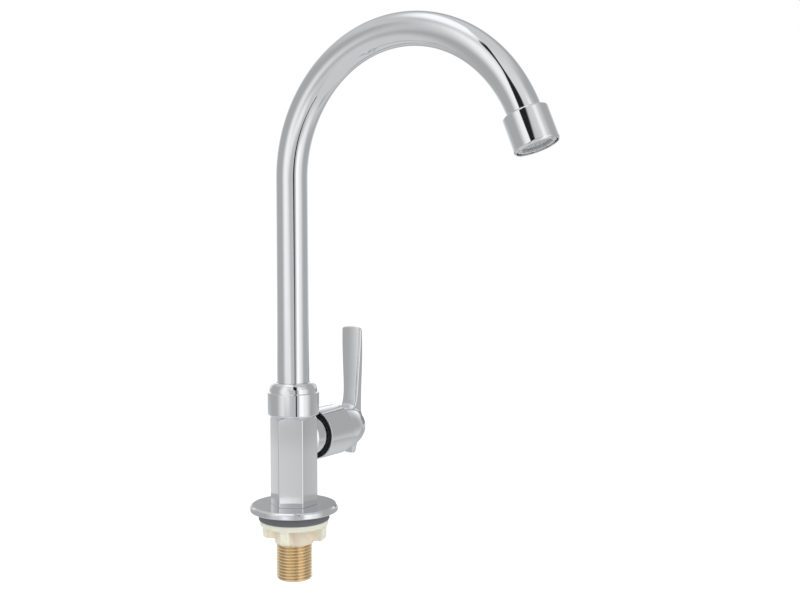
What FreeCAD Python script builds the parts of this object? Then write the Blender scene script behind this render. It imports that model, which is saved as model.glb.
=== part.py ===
import FreeCAD, Part
import os
import re
import Sketcher

# A deck-mounted gooseneck bar faucet. The frame is millimetres with +Z up, the origin on
# the deck plane, under the base gasket, on the axis of the threaded shank. The spout
# reaches along -Y and the lever stands on the +X side.

# Driving dimensions, in the order in which the faucet is put together.
SIZES = {
    # fits that several pieces share, and how far a cutter reaches past a face
    "fit_gap": 0.05,
    "running_gap": 0.08,
    "part_gap": 0.3,
    "overcut": 1.0,
    # threaded shank
    "thread_radius": 10.4775,
    "runout_radius": 10.3,
    "shank_drop": 35.0,
    "shank_bore_radius": 6.75,
    "spigot_radius": 9.0,
    "spigot_top": 21.0,
    "shank_chamfer": 0.6,
    # base gasket and base flange
    "gasket_radius": 20.6,
    "gasket_thickness": 4.0,
    "gasket_round": 0.5,
    "flange_radius": 25.5,
    "flange_thickness": 4.9,
    "flange_recess": 1.4,
    "flange_foot_radius": 21.0,
    "flange_foot_rise": 1.3,
    "flange_rim_drop": 0.8,
    "flange_top_radius": 24.3,
    "flange_round": 1.0,
    # shank seal
    "seal_thickness": 1.6,
    "seal_radius": 8.9,
    "seal_bore_radius": 7.0,
    # body casting
    "across_flats": 24.0,
    "hex_above_handle": 12.8,
    "hex_shoulder_radius": 12.5,
    "hex_shoulder_drop": 0.85,
    "neck_radius": 12.0,
    "neck_height": 10.7,
    "socket_radius": 8.6,
    "socket_depth": 13.5,
    "inlet_bore_radius": 6.5,
    "inlet_bore_depth": 8.4,
    "passage_radius": 3.0,
    "passage_offset": 5.8,
    "outlet_passage_radius": 4.0,
    "outlet_passage_offset": 4.2,
    "outlet_overlap": 1.7,
    "handle_height": 47.0,
    "boss_radius": 10.65,
    "boss_reach": 21.0,
    "chamber_radius": 8.6,
    "chamber_floor": 1.5,
    "seat_radius": 3.6,
    # valve
    "inlet_seal_radius": 6.9,
    "inlet_seal_bore_radius": 3.9,
    "inlet_seal_length": 3.1,
    "disc_radius": 7.1,
    "disc_thickness": 3.0,
    "disc_port_radius": 1.9,
    "disc_port_offset": 3.9,
    "disc_gap": 0.03,
    "disc_slot_width": 3.0,
    "disc_slot_depth": 1.2,
    "tongue_inset": 0.5,
    "housing_skirt": 0.6,
    "housing_window_length": 3.6,
    "housing_window_width": 8.0,
    "housing_flange_radius": 10.2,
    "housing_flange_thickness": 2.2,
    "housing_neck_radius": 6.4,
    "housing_neck_length": 1.4,
    "foot_thickness": 2.4,
    "groove_width": 2.1,
    "groove_depth": 1.3,
    "housing_groove_offset": 3.4,
    "spindle_radius": 4.3,
    "spindle_groove_offset": 2.6,
    "spindle_groove_pitch": 4.2,
    "clip_radius": 6.0,
    "clip_thickness": 0.7,
    "clip_groove_depth": 0.7,
    "clip_opening": 5.0,
    "square_side": 6.0,
    "square_relief": 1.0,
    "square_length": 10.6,
    "tapped_depth": 10.0,
    # dust ring on the boss
    "ring_length": 2.6,
    "ring_wall_gap": 0.08,
    # handle hub
    "hub_start": 17.7,
    "hub_end": 40.0,
    "hub_radius": 14.94,
    "hub_wall": 0.74,
    "hub_end_wall": 4.5,
    "hub_post_radius": 6.5,
    "hub_post_length": 7.0,
    "hub_floor": 2.4,
    "hub_round": 0.4,
    # lever
    "lever_root_radius": 14.2,
    "lever_mid_radius": 12.6,
    "lever_end_radius": 8.2,
    "lever_root_length": 20.5,
    "lever_end_round": 1.2,
    "lever_swell": 0.55,
    "lever_swell_round": 16.0,
    "lever_key_width": 5.0,
    "lever_key_depth": 1.2,
    "lever_key_length": 24.0,
    "blade_height": 61.4,
    "blade_tip_half_width": 7.1,
    "blade_tip_thickness": 2.6,
    "blade_tip_setback": 1.6,
    "blade_tip_round": 1.6,
    "blade_waist_height": 17.0,
    "blade_waist_half_width": 5.4,
    "blade_side_radius": 150.0,
    "blade_heel_height": 14.0,
    "blade_heel_thickness": 5.1,
    "blade_heel_radius": 12.0,
    "blade_foot_height": 8.0,
    "blade_root_thickness": 13.0,
    "blade_corner": 0.8,
    "tail_drop": 17.2,
    "tail_half_width": 3.0,
    "tail_root_half_width": 5.2,
    "tail_thickness": 3.2,
    "tail_setback": 4.0,
    "tail_neck_drop": 10.2,
    "tail_neck_radius": 10.0,
    "screw_radius": 1.95,
    "screw_head_radius": 3.6,
    "screw_head_height": 2.6,
    "screw_head_round": 0.85,
    "screw_length": 16.0,
    "screw_seat": 4.5,
    "button_radius": 5.6,
    "button_thickness": 1.4,
    "button_round": 0.45,
    "button_stem_length": 4.0,
    "head_bore_radius": 4.2,
    # swivel joint and collar nut
    "sleeve_wall": 2.9,
    "sleeve_flange_radius": 11.2,
    "sleeve_flange_thickness": 2.35,
    "sleeve_spigot_length": 10.0,
    "sleeve_groove_low": 3.0,
    "sleeve_groove_pitch": 5.0,
    "glide_ring_thickness": 1.0,
    "collar_radius": 15.0,
    "collar_height": 19.5,
    "collar_step": 15.0,
    "collar_shoulder_radius": 13.3,
    "collar_foot_round": 2.3,
    "collar_step_round": 0.4,
    "collar_shoulder_round": 2.9,
    "collar_cavity_radius": 11.5,
    # spout
    "tube_radius": 9.3,
    "tube_wall": 0.95,
    "riser_top": 197.8,
    "bend_radius": 78.05,
    "bend_angle": 156.8,
    "tube_entry": 6.0,
    # outlet collar and aerator
    "outlet_radius": 12.25,
    "outlet_length": 19.0,
    "outlet_wall": 1.3,
    "outlet_round": 1.0,
    "aerator_recess": 0.6,
    "aerator_mouth_radius": 10.3,
    "aerator_mouth_length": 2.4,
    "aerator_opening_radius": 8.15,
    "aerator_ledge": 1.6,
    "aerator_wall": 1.9,
    "aerator_notches": 8,
    "notch_width": 2.2,
    "notch_depth": 1.3,
    "screen_thickness": 0.5,
    "screen_hole": 1.1,
    "screen_pitch": 1.75,
    "screen_rings": 4,
    "former_plate": 2.2,
    "former_wall": 0.8,
    "former_hole_radius": 0.7,
    "former_holes": 10,
    "former_ring_radius": 5.6,
    "washer_thickness": 1.6,
    "washer_bore_radius": 7.2,
    # lock nut
    "nut_turn": 21.0,
    "nut_bore_radius": 10.6,
    "nut_flange_radius": 20.4,
    "nut_flange_foot_radius": 19.3,
    "nut_flange_thickness": 3.6,
    "nut_hub_radius": 11.9,
    "nut_hub_taper": 0.6,
    "nut_height": 14.3,
    "nut_foot_chamfer": 0.8,
    "nut_wings": 4,
    "wing_web_thickness": 2.2,
    "wing_web_inset": 3.4,
    "wing_rib_thickness": 4.6,
    "wing_radius": 19.0,
    "wing_foot_radius": 18.2,
    "wing_height": 12.2,
    "wing_chamfer": 1.4,
}

# Places that follow from the driving dimensions: heights up the Z axis, then stations
# along the handle's axis, then stations along the outlet from the top of its collar.
PLACES = {
    "shank_shoulder": "gasket_thickness + flange_recess",
    "body_base": "gasket_thickness + flange_thickness",
    "hex_top": "handle_height + hex_above_handle",
    "hex_height": "hex_top - body_base",
    "hex_corner": "across_flats / sqrt(3)",
    "neck_top": "hex_top + neck_height",
    "shank_seal_top": "spigot_top + seal_thickness",
    "inlet_bore_top": "shank_seal_top + inlet_bore_depth",
    "socket_floor": "neck_top - socket_depth",
    "sleeve_radius": "socket_radius - running_gap",
    "sleeve_bore": "sleeve_radius - sleeve_wall",
    "sleeve_foot": "socket_floor + part_gap",
    "glide_low": "neck_top",
    "sleeve_flange_base": "glide_low + glide_ring_thickness + fit_gap",
    "sleeve_flange_top": "sleeve_flange_base + sleeve_flange_thickness",
    "glide_high": "sleeve_flange_top + fit_gap",
    "glide_outer": "collar_cavity_radius - fit_gap",
    "glide_inner": "tube_radius + running_gap",
    "collar_cavity_top": "glide_high + glide_ring_thickness",
    "collar_opening": "tube_radius + part_gap",
    "collar_top": "hex_top + collar_height",
    "tube_bore": "tube_radius - tube_wall",
    "disc_seat": "inlet_seal_length - chamber_floor",
    "disc_face": "disc_seat + disc_thickness + disc_gap",
    "disc_back": "disc_face + disc_thickness",
    "foot_start": "disc_back + disc_gap",
    "foot_end": "foot_start + foot_thickness",
    "housing_cavity": "disc_radius + running_gap",
    "housing_step": "foot_end + fit_gap",
    "housing_start": "disc_seat - housing_skirt",
    "housing_radius": "chamber_radius - fit_gap",
    "housing_flange_end": "boss_reach + housing_flange_thickness",
    "housing_end": "housing_flange_end + housing_neck_length",
    "housing_groove": "boss_reach - housing_groove_offset",
    "spindle_bore": "spindle_radius + running_gap",
    "clip_start": "housing_end + running_gap",
    "clip_end": "clip_start + clip_thickness",
    "square_start": "clip_end + 2 * fit_gap + square_relief",
    "square_end": "square_start + square_length",
    "hub_inner": "hub_radius - hub_wall",
    "ring_radius": "hub_inner - ring_wall_gap",
    "ring_start": "boss_reach - ring_length",
    "hub_web": "hub_end - hub_end_wall",
    "lever_end": "hub_end + lever_root_length",
    "blade_flare": "blade_tip_half_width - blade_waist_half_width",
    "blade_flare_height": "sqrt(blade_flare * (2 * blade_side_radius - blade_flare))",
    "screw_head_base": "hub_end + screw_seat",
    "screw_tip": "screw_head_base - screw_length",
    "button_base": "lever_end - button_thickness",
    "outlet_inner": "outlet_radius - outlet_wall",
    "aerator_radius": "outlet_inner - running_gap",
    "aerator_top": "tube_entry + washer_thickness",
    "aerator_foot": "outlet_length - aerator_recess",
    "aerator_inner": "aerator_radius - aerator_wall",
    "ledge_top": "aerator_foot - aerator_ledge",
    "screen_top": "ledge_top - screen_thickness",
    "former_top": "aerator_top + fit_gap",
    "nut_foot_radius": "nut_hub_radius - nut_hub_taper",
}

doc = FreeCAD.newDocument("bar_faucet")
sheet = doc.addObject("Spreadsheet::Sheet", "Sizes")
for row, (alias, number) in enumerate(SIZES.items(), start=1):
    sheet.set(f"A{row}", alias)
    sheet.set(f"B{row}", str(number))
    sheet.setAlias(f"B{row}", alias)
doc.recompute()


# ---- shared helpers: expressions, sketches and features ----------------------------------

def bound(text):
    """The expression for the sheet: places are written out and aliases get the sheet's name."""
    def write_out(match):
        word = match.group(0)
        if word in PLACES:
            return f"({bound(PLACES[word])})"
        if word in SIZES:
            return f"Sizes.{word}"
        return word
    return re.sub(r"[a-z][a-z_]*", write_out, text)


def value(text):
    """What an expression comes to, in millimetres, degrees or a count."""
    return float(sheet.evalExpression(bound(text)))


def radians(degrees):
    """An angle in the unit that the Part module's arcs take."""
    return FreeCAD.Units.Quantity(f"{degrees} deg").getValueAs("rad").Value


def new_body(name, base=("0", "0", "0"), tilt=None, axis=(1, 0, 0)):
    """A body placed at three expressions, and turned by a fourth about one of its axes."""
    body = doc.addObject("PartDesign::Body", name)
    body.Label = name
    turn = FreeCAD.Rotation(FreeCAD.Vector(*axis), value(tilt) if tilt else 0)
    body.Placement = FreeCAD.Placement(FreeCAD.Vector(*map(value, base)), turn)
    for letter, text in zip("xyz", base):
        if text != "0":
            body.setExpression(f"Placement.Base.{letter}", bound(text))
    if tilt:
        body.setExpression("Placement.Rotation.Angle", bound(tilt))
    return body


def on_handle_axis(name):
    """A body whose X axis is the handle's axis."""
    return new_body(name, ("0", "0", "handle_height"))


def on_outlet(name):
    """A body whose Z axis runs down the outlet, from the end of the bend."""
    behind = "bend_radius * (cos(bend_angle) - 1)"
    above = "riser_top + bend_radius * sin(bend_angle)"
    return new_body(name, ("0", behind, above), "bend_angle")


def new_sketch(body, name, plane, offset="0"):
    """A sketch on one of the body's own origin planes, moved along the plane's normal."""
    sketch = body.newObject("Sketcher::SketchObject", name)
    support = [item for item in body.Origin.OriginFeatures if item.Role == plane]
    sketch.AttachmentSupport = [(support[0], "")]
    sketch.MapMode = "FlatFace"
    if offset != "0":
        sketch.setExpression("AttachmentOffset.Base.z", bound(offset))
    return sketch


def place_point(sketch, index, end, u, v):
    """Hold a point of the sketch at two expressions, measured from the sketch's origin."""
    for kind, text, line in (("DistanceX", u, -2), ("DistanceY", v, -1)):
        if text == "0":
            sketch.addConstraint(Sketcher.Constraint("PointOnObject", index, end, line))
            continue
        rule = Sketcher.Constraint(kind, -1, 1, index, end, value(text))
        number = sketch.addConstraint(rule)
        sketch.setExpression(f"Constraints[{number}]", bound(text))


def outline(sketch, corners):
    """A closed outline of straight sides through corners that are pairs of expressions."""
    points = [FreeCAD.Vector(value(u), value(v), 0) for u, v in corners]
    first = sketch.GeometryCount
    count = len(points)
    for start, end in zip(points, points[1:] + points[:1]):
        sketch.addGeometry(Part.LineSegment(start, end))
    for side in range(count):
        joined = first + (side + 1) % count
        sketch.addConstraint(Sketcher.Constraint("Coincident", first + side, 2, joined, 1))
    for side, (u, v) in enumerate(corners):
        place_point(sketch, first + side, 1, u, v)
    return sketch


def circle(sketch, radius, u="0", v="0"):
    """A circle whose centre and radius are expressions."""
    centre = FreeCAD.Vector(value(u), value(v), 0)
    normal = FreeCAD.Vector(0, 0, 1)
    index = sketch.addGeometry(Part.Circle(centre, normal, value(radius)))
    place_point(sketch, index, 3, u, v)
    rule = sketch.addConstraint(Sketcher.Constraint("Radius", index, value(radius)))
    sketch.setExpression(f"Constraints[{rule}]", bound(radius))
    return sketch


def box(sketch, half_u, half_v):
    """A rectangle about the sketch's origin."""
    left, low = f"-({half_u})", f"-({half_v})"
    return outline(sketch, [(left, low), (half_u, low), (half_u, half_v), (left, half_v)])


def turn(body, name, corners, axis="V_Axis"):
    """A turned piece: the outline on the XZ plane, revolved about the body's Z or X axis."""
    sketch = outline(new_sketch(body, name + "_profile", "XZ_Plane"), corners)
    feature = body.newObject("PartDesign::Revolution", name)
    feature.Profile = sketch
    feature.ReferenceAxis = (sketch, [axis])
    feature.Angle = 360
    return feature


def groove(body, name, corners, axis="V_Axis"):
    """A turned cut, made as a turned piece is."""
    sketch = outline(new_sketch(body, name + "_profile", "XZ_Plane"), corners)
    feature = body.newObject("PartDesign::Groove", name)
    feature.Profile = sketch
    feature.ReferenceAxis = (sketch, [axis])
    feature.Angle = 360
    return removes(body, feature)


def pad(body, name, sketch, length, both_sides=False):
    """Material added along the sketch's normal, or half of it to each side."""
    feature = body.newObject("PartDesign::Pad", name)
    feature.Profile = sketch
    feature.setExpression("Length", bound(length))
    feature.Midplane = both_sides
    return feature


def pocket(body, name, sketch, length, forwards=False):
    """Material taken away against the sketch's normal, or along it."""
    feature = body.newObject("PartDesign::Pocket", name)
    feature.Profile = sketch
    feature.setExpression("Length", bound(length))
    feature.Reversed = forwards
    return removes(body, feature)


def removes(body, feature):
    """Stop if a cut took nothing away, as one that points off the solid would."""
    doc.recompute()
    if feature.Shape.Volume > feature.BaseFeature.Shape.Volume - 1e-6:
        raise RuntimeError(f"{body.Label}: {feature.Name} cuts nothing")
    return feature


def rims(body, radius, station, axis="z"):
    """The names of the tip's round edges of one radius at one station along its axis."""
    doc.recompute()
    found = []
    for number, edge in enumerate(body.Tip.Shape.Edges, start=1):
        round_edge = isinstance(edge.Curve, Part.Circle)
        if not round_edge or abs(edge.Curve.Radius - value(radius)) > 1e-4:
            continue
        if abs(getattr(edge.Curve.Center, axis) - value(station)) < 1e-4:
            found.append(f"Edge{number}")
    return found


def creases(body, **places):
    """The names of the tip's edges that keep to given places along the body's axes."""
    doc.recompute()
    wanted = {letter.upper(): value(text) for letter, text in places.items()}
    found = []
    for number, edge in enumerate(body.Tip.Shape.Edges, start=1):
        ends = [vertex.Point for vertex in edge.Vertexes]
        near = [abs(getattr(end, letter.lower()) - place) < 1e-4
                for end in ends for letter, place in wanted.items()]
        if all(near):
            found.append(f"Edge{number}")
    return found


def long_edges(body):
    """The names of the edges that run down the tip's faces that look to either side."""
    doc.recompute()
    shape = body.Tip.Shape
    found = []
    for number, edge in enumerate(shape.Edges, start=1):
        first, last = edge.firstVertex().Point, edge.lastVertex().Point
        if abs(first.z - last.z) < 1e-4:
            continue
        sides = [face for face in shape.ancestorsOfType(edge, Part.Face)
                 if abs(face.normalAt(*face.Surface.parameter(first)).y) > 0.9]
        if len(sides) == 1:
            found.append(f"Edge{number}")
    return found


def round_off(body, name, edges, radius, kind="Fillet"):
    """A fillet, or a chamfer, on named edges of the tip."""
    if not edges:
        raise RuntimeError(f"{body.Label}: {name} finds no edge")
    base = body.Tip
    feature = body.newObject(f"PartDesign::{kind}", name)
    feature.Base = (base, edges)
    feature.setExpression("Radius" if kind == "Fillet" else "Size", bound(radius))
    return feature


def around(body, name, features, count, axis="Z_Axis"):
    """Copies of features, evenly spaced about one of the body's axes."""
    pattern = body.newObject("PartDesign::PolarPattern", name)
    pattern.Originals = features
    lines = [item for item in body.Origin.OriginFeatures if item.Role == axis]
    pattern.Axis = (lines[0], [""])
    pattern.Angle = 360
    pattern.setExpression("Occurrences", bound(count))
    body.Tip = pattern
    return pattern


def ring_seal(name, inner, outer, station, axis=(0, 0, 1), base=("0", "0", "0")):
    """An O-ring that fills the gap between two radii, centred at a station on an axis."""
    ring = doc.addObject("Part::Torus", name)
    ring.setExpression("Radius1", bound(f"({outer} + {inner}) / 2"))
    ring.setExpression("Radius2", bound(f"({outer} - ({inner})) / 2"))
    up = FreeCAD.Vector(0, 0, 1)
    along = FreeCAD.Vector(*axis)
    ring.Placement = FreeCAD.Placement(FreeCAD.Vector(), FreeCAD.Rotation(up, along))
    for letter, text, share in zip("xyz", base, axis):
        place = f"{text} + {station}" if share else text
        if place != "0":
            ring.setExpression(f"Placement.Base.{letter}", bound(place))
    ring.Label = name
    return ring


def group(name, members):
    """Like pieces that share one node, as separate solids."""
    compound = doc.addObject("Part::Compound", name)
    compound.Links = members
    compound.Label = name
    return compound


# ---- base and body -----------------------------------------------------------------------

def threaded_shank():
    """Brass tail: a male pipe thread below, and a slimmer spigot that screws into the body.

    The flange rests on the shoulder between the two. The thread is drawn as its crest.
    """
    body = new_body("threaded_shank")
    free_top = "-nut_height - part_gap"
    turn(body, "shank_turning", [
        ("shank_bore_radius", "-shank_drop"),
        ("thread_radius", "-shank_drop"),
        ("thread_radius", free_top),
        ("runout_radius", free_top),
        ("runout_radius", "shank_shoulder"),
        ("spigot_radius", "shank_shoulder"),
        ("spigot_radius", "spigot_top"),
        ("shank_bore_radius", "spigot_top"),
    ])
    tip = rims(body, "thread_radius", "-shank_drop")
    tip += rims(body, "spigot_radius", "spigot_top")
    round_off(body, "shank_lead_in", tip, "shank_chamfer", "Chamfer")
    return body


def base_gasket():
    """Soft ring between the flange and the deck, slipped over the shank."""
    body = new_body("base_gasket")
    bore = "thread_radius + running_gap"
    turn(body, "gasket_ring", [
        (bore, "0"),
        ("gasket_radius", "0"),
        ("gasket_radius", "gasket_thickness"),
        (bore, "gasket_thickness"),
    ])
    round_off(body, "gasket_edge", rims(body, "gasket_radius", "0"), "gasket_round")
    return body


def base_flange():
    """Round escutcheon under the body, trapped on the shank's shoulder.

    Its underside rises from the gasket to the rim, and the rim's upper edge is sloped.
    """
    body = new_body("base_flange")
    spigot_hole = "spigot_radius + fit_gap"
    shank_hole = "thread_radius + running_gap"
    rim_foot = "gasket_thickness + flange_foot_rise"
    rim_top = "body_base - flange_rim_drop"
    turn(body, "flange_plate", [
        (shank_hole, "gasket_thickness"),
        ("flange_foot_radius", "gasket_thickness"),
        ("flange_radius", rim_foot),
        ("flange_radius", rim_top),
        ("flange_top_radius", "body_base"),
        (spigot_hole, "body_base"),
        (spigot_hole, "shank_shoulder"),
        (shank_hole, "shank_shoulder"),
    ])
    edges = rims(body, "flange_radius", rim_top)
    edges += rims(body, "flange_top_radius", "body_base")
    round_off(body, "flange_slope_edges", edges, "flange_round")
    foot = rims(body, "flange_radius", rim_foot)
    round_off(body, "flange_foot", foot, "flange_round / 2")
    return body


def shank_seal():
    """Flat fibre washer between the shank's end and the ledge in the body."""
    body = new_body("shank_seal")
    turn(body, "seal_ring", [
        ("seal_bore_radius", "spigot_top"),
        ("seal_radius", "spigot_top"),
        ("seal_radius", "shank_seal_top"),
        ("seal_bore_radius", "shank_seal_top"),
    ])
    return body


def faucet_body():
    """Hexagonal casting with a corner at the handle, where a round boss stands out.

    Water comes up the middle, sidesteps through a narrow passage to the seat behind the
    valve chamber, and leaves the chamber's top for the socket in which the spout swivels.
    """
    body = new_body("faucet_body")
    hexagon = new_sketch(body, "hexagon", "XY_Plane", "body_base")
    flat = "across_flats / 2"
    half = "hex_corner / 2"
    outline(hexagon, [
        ("hex_corner", "0"),
        (half, flat),
        (f"-{half}", flat),
        ("-hex_corner", "0"),
        (f"-{half}", f"-{flat}"),
        (half, f"-{flat}"),
    ])
    pad(body, "hexagon_bar", hexagon, "hex_height")
    outside = "hex_corner + overcut"
    reach = f"({outside} - hex_shoulder_radius) * hex_shoulder_drop"
    groove(body, "turned_shoulder", [
        ("hex_shoulder_radius", "hex_top + overcut"),
        (outside, "hex_top + overcut"),
        (outside, f"hex_top - {reach}"),
        ("hex_shoulder_radius", "hex_top"),
    ])
    boss = circle(new_sketch(body, "boss_circle", "YZ_Plane"), "boss_radius", "0", "handle_height")
    pad(body, "side_boss", boss, "boss_reach")
    neck = circle(new_sketch(body, "neck_circle", "XY_Plane", "hex_top"), "neck_radius")
    pad(body, "threaded_neck", neck, "neck_height")

    socket = circle(new_sketch(body, "socket_circle", "XY_Plane", "neck_top"), "socket_radius")
    pocket(body, "spout_socket", socket, "socket_depth")
    spigot_bore = "spigot_radius + fit_gap"
    lower = circle(new_sketch(body, "shank_circle", "XY_Plane", "body_base"), spigot_bore)
    pocket(body, "shank_socket", lower, "shank_seal_top - body_base", forwards=True)
    inlet = circle(new_sketch(body, "inlet_circle", "XY_Plane", "body_base"), "inlet_bore_radius")
    pocket(body, "inlet_bore", inlet, "inlet_bore_top - body_base", forwards=True)

    chamber = new_sketch(body, "chamber_circle", "YZ_Plane", "boss_reach")
    circle(chamber, "chamber_radius", "0", "handle_height")
    pocket(body, "valve_chamber", chamber, "boss_reach + chamber_floor")
    seat = new_sketch(body, "seat_circle", "YZ_Plane", "boss_reach")
    circle(seat, "seat_radius", "0", "handle_height")
    pocket(body, "valve_seat", seat, "boss_reach + passage_offset + passage_radius / 2")
    rising = new_sketch(body, "rising_circle", "XY_Plane", "handle_height + seat_radius / 2")
    circle(rising, "passage_radius", "-passage_offset")
    low = "inlet_bore_top - passage_radius / 2"
    pocket(body, "rising_passage", rising, f"handle_height + seat_radius / 2 - ({low})")
    outlet = new_sketch(body, "outlet_circle", "XY_Plane", "socket_floor + fit_gap")
    circle(outlet, "outlet_passage_radius", "outlet_passage_offset")
    depth = "socket_floor + fit_gap - handle_height - chamber_radius + outlet_overlap"
    pocket(body, "outlet_passage", outlet, depth)
    return body


# ---- valve -------------------------------------------------------------------------------

def inlet_seal():
    """Rubber sleeve that presses the fixed disc off the seat and keeps the inlet tight."""
    body = on_handle_axis("inlet_seal")
    turn(body, "seal_sleeve", [
        ("-chamber_floor", "inlet_seal_bore_radius"),
        ("disc_seat", "inlet_seal_bore_radius"),
        ("disc_seat", "inlet_seal_radius"),
        ("-chamber_floor", "inlet_seal_radius"),
    ], "H_Axis")
    return body


def disc_blank(name, start):
    """A ceramic disc on the handle's axis with two opposite ports."""
    body = on_handle_axis(name)
    face = circle(new_sketch(body, "disc_circle", "YZ_Plane", start), "disc_radius")
    pad(body, "disc", face, "disc_thickness")
    ports = new_sketch(body, "port_circles", "YZ_Plane", f"{start} + disc_thickness")
    circle(ports, "disc_port_radius", "disc_port_offset")
    circle(ports, "disc_port_radius", "-disc_port_offset")
    pocket(body, "ports", ports, "disc_thickness")
    return body


def fixed_disc():
    """Ceramic disc that stands still in the housing; its ports let the water in."""
    return disc_blank("fixed_disc", "disc_seat")


def moving_disc():
    """Ceramic disc that the spindle turns against the fixed one, by a slot in its back."""
    body = disc_blank("moving_disc", "disc_face")
    slot = new_sketch(body, "slot_outline", "YZ_Plane", "disc_back")
    box(slot, "disc_slot_width / 2", "disc_radius + overcut")
    pocket(body, "drive_slot", slot, "disc_slot_depth")
    return body


def cartridge_housing():
    """Brass sleeve screwed into the boss: it holds the discs and carries the spindle.

    Windows above and below the discs let the water out into the chamber.
    """
    body = on_handle_axis("cartridge_housing")
    turn(body, "housing_turning", [
        ("housing_start", "housing_cavity"),
        ("housing_step", "housing_cavity"),
        ("housing_step", "spindle_bore"),
        ("housing_end", "spindle_bore"),
        ("housing_end", "housing_neck_radius"),
        ("housing_flange_end", "housing_neck_radius"),
        ("housing_flange_end", "housing_flange_radius"),
        ("boss_reach", "housing_flange_radius"),
        ("boss_reach", "housing_radius"),
        ("housing_start", "housing_radius"),
    ], "H_Axis")
    floor = "housing_radius - groove_depth"
    groove(body, "seal_groove", [
        ("housing_groove - groove_width / 2", floor),
        ("housing_groove + groove_width / 2", floor),
        ("housing_groove + groove_width / 2", "housing_radius + overcut"),
        ("housing_groove - groove_width / 2", "housing_radius + overcut"),
    ], "H_Axis")
    window = new_sketch(body, "window_outline", "XY_Plane", "housing_radius + overcut")
    half = "housing_window_width / 2"
    far = "disc_face + housing_window_length"
    outline(window, [
        ("disc_face", f"-{half}"),
        (far, f"-{half}"),
        (far, half),
        ("disc_face", half),
    ])
    pocket(body, "windows", window, "2 * (housing_radius + overcut)")
    return body


def housing_o_ring():
    """O-ring in the housing's groove, against the wall of the valve chamber."""
    floor = "housing_radius - groove_depth"
    along_x = (1, 0, 0)
    base = ("0", "0", "handle_height")
    return ring_seal("housing_o_ring", floor, "chamber_radius", "housing_groove", along_x, base)


def spindle_groove(count):
    """Where the spindle's seal grooves lie along the handle's axis."""
    return f"housing_step + spindle_groove_offset + {count} * spindle_groove_pitch"


def spindle():
    """Brass spindle: a foot with a tongue that turns the disc, and a square for the hub."""
    body = on_handle_axis("spindle")
    turn(body, "spindle_turning", [
        ("foot_start", "0"),
        ("foot_start", "housing_cavity - running_gap"),
        ("foot_end", "housing_cavity - running_gap"),
        ("foot_end", "spindle_radius"),
        ("square_start", "spindle_radius"),
        ("square_start", "0"),
    ], "H_Axis")
    floor = "spindle_radius - groove_depth"
    for count in range(2):
        middle = spindle_groove(count)
        groove(body, f"spindle_groove_{count + 1}", [
            (f"{middle} - groove_width / 2", floor),
            (f"{middle} + groove_width / 2", floor),
            (f"{middle} + groove_width / 2", "spindle_radius + overcut"),
            (f"{middle} - groove_width / 2", "spindle_radius + overcut"),
        ], "H_Axis")
    clip_floor = "spindle_radius - clip_groove_depth"
    groove(body, "clip_groove", [
        ("clip_start - fit_gap", clip_floor),
        ("clip_end + fit_gap", clip_floor),
        ("clip_end + fit_gap", "spindle_radius + overcut"),
        ("clip_start - fit_gap", "spindle_radius + overcut"),
    ], "H_Axis")
    tongue = new_sketch(body, "tongue_outline", "YZ_Plane", "foot_start - disc_slot_depth")
    box(tongue, "disc_slot_width / 2 - fit_gap", "disc_radius - tongue_inset")
    pad(body, "tongue", tongue, "disc_slot_depth + fit_gap")
    square = new_sketch(body, "square_outline", "YZ_Plane", "square_start")
    box(square, "square_side / 2", "square_side / 2")
    pad(body, "square", square, "square_length")
    tapped = circle(new_sketch(body, "tapped_circle", "YZ_Plane", "square_end"),
                    "screw_radius + fit_gap")
    pocket(body, "tapped_hole", tapped, "tapped_depth")
    return body


def spindle_o_rings():
    """Two O-rings that seal the spindle in its housing and make the lever stay put."""
    floor = "spindle_radius - groove_depth"
    along_x = (1, 0, 0)
    base = ("0", "0", "handle_height")
    outer = "spindle_bore - fit_gap"
    rings = []
    for count in range(2):
        name = f"spindle_o_ring_{count + 1}"
        rings.append(ring_seal(name, floor, outer, spindle_groove(count), along_x, base))
    return group("spindle_o_rings", rings)


def spindle_clip():
    """Split spring ring that keeps the spindle from being pushed into its housing."""
    body = on_handle_axis("spindle_clip")
    inner = "spindle_radius - clip_groove_depth + fit_gap"
    turn(body, "clip_ring", [
        ("clip_start", inner),
        ("clip_end", inner),
        ("clip_end", "clip_radius"),
        ("clip_start", "clip_radius"),
    ], "H_Axis")
    gap = new_sketch(body, "gap_outline", "YZ_Plane", "clip_end")
    half = "clip_opening / 2"
    outline(gap, [
        (f"-{half}", "0"),
        (half, "0"),
        (half, "-clip_radius - overcut"),
        (f"-{half}", "-clip_radius - overcut"),
    ])
    pocket(body, "clip_gap", gap, "clip_thickness")
    return body


def dust_ring():
    """Black nylon ring on the end of the boss that closes the mouth of the handle's hub."""
    body = on_handle_axis("dust_ring")
    turn(body, "ring_turning", [
        ("ring_start", "boss_radius + fit_gap"),
        ("boss_reach", "boss_radius + fit_gap"),
        ("boss_reach", "ring_radius"),
        ("ring_start", "ring_radius"),
    ], "H_Axis")
    return body


# ---- handle ------------------------------------------------------------------------------

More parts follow.
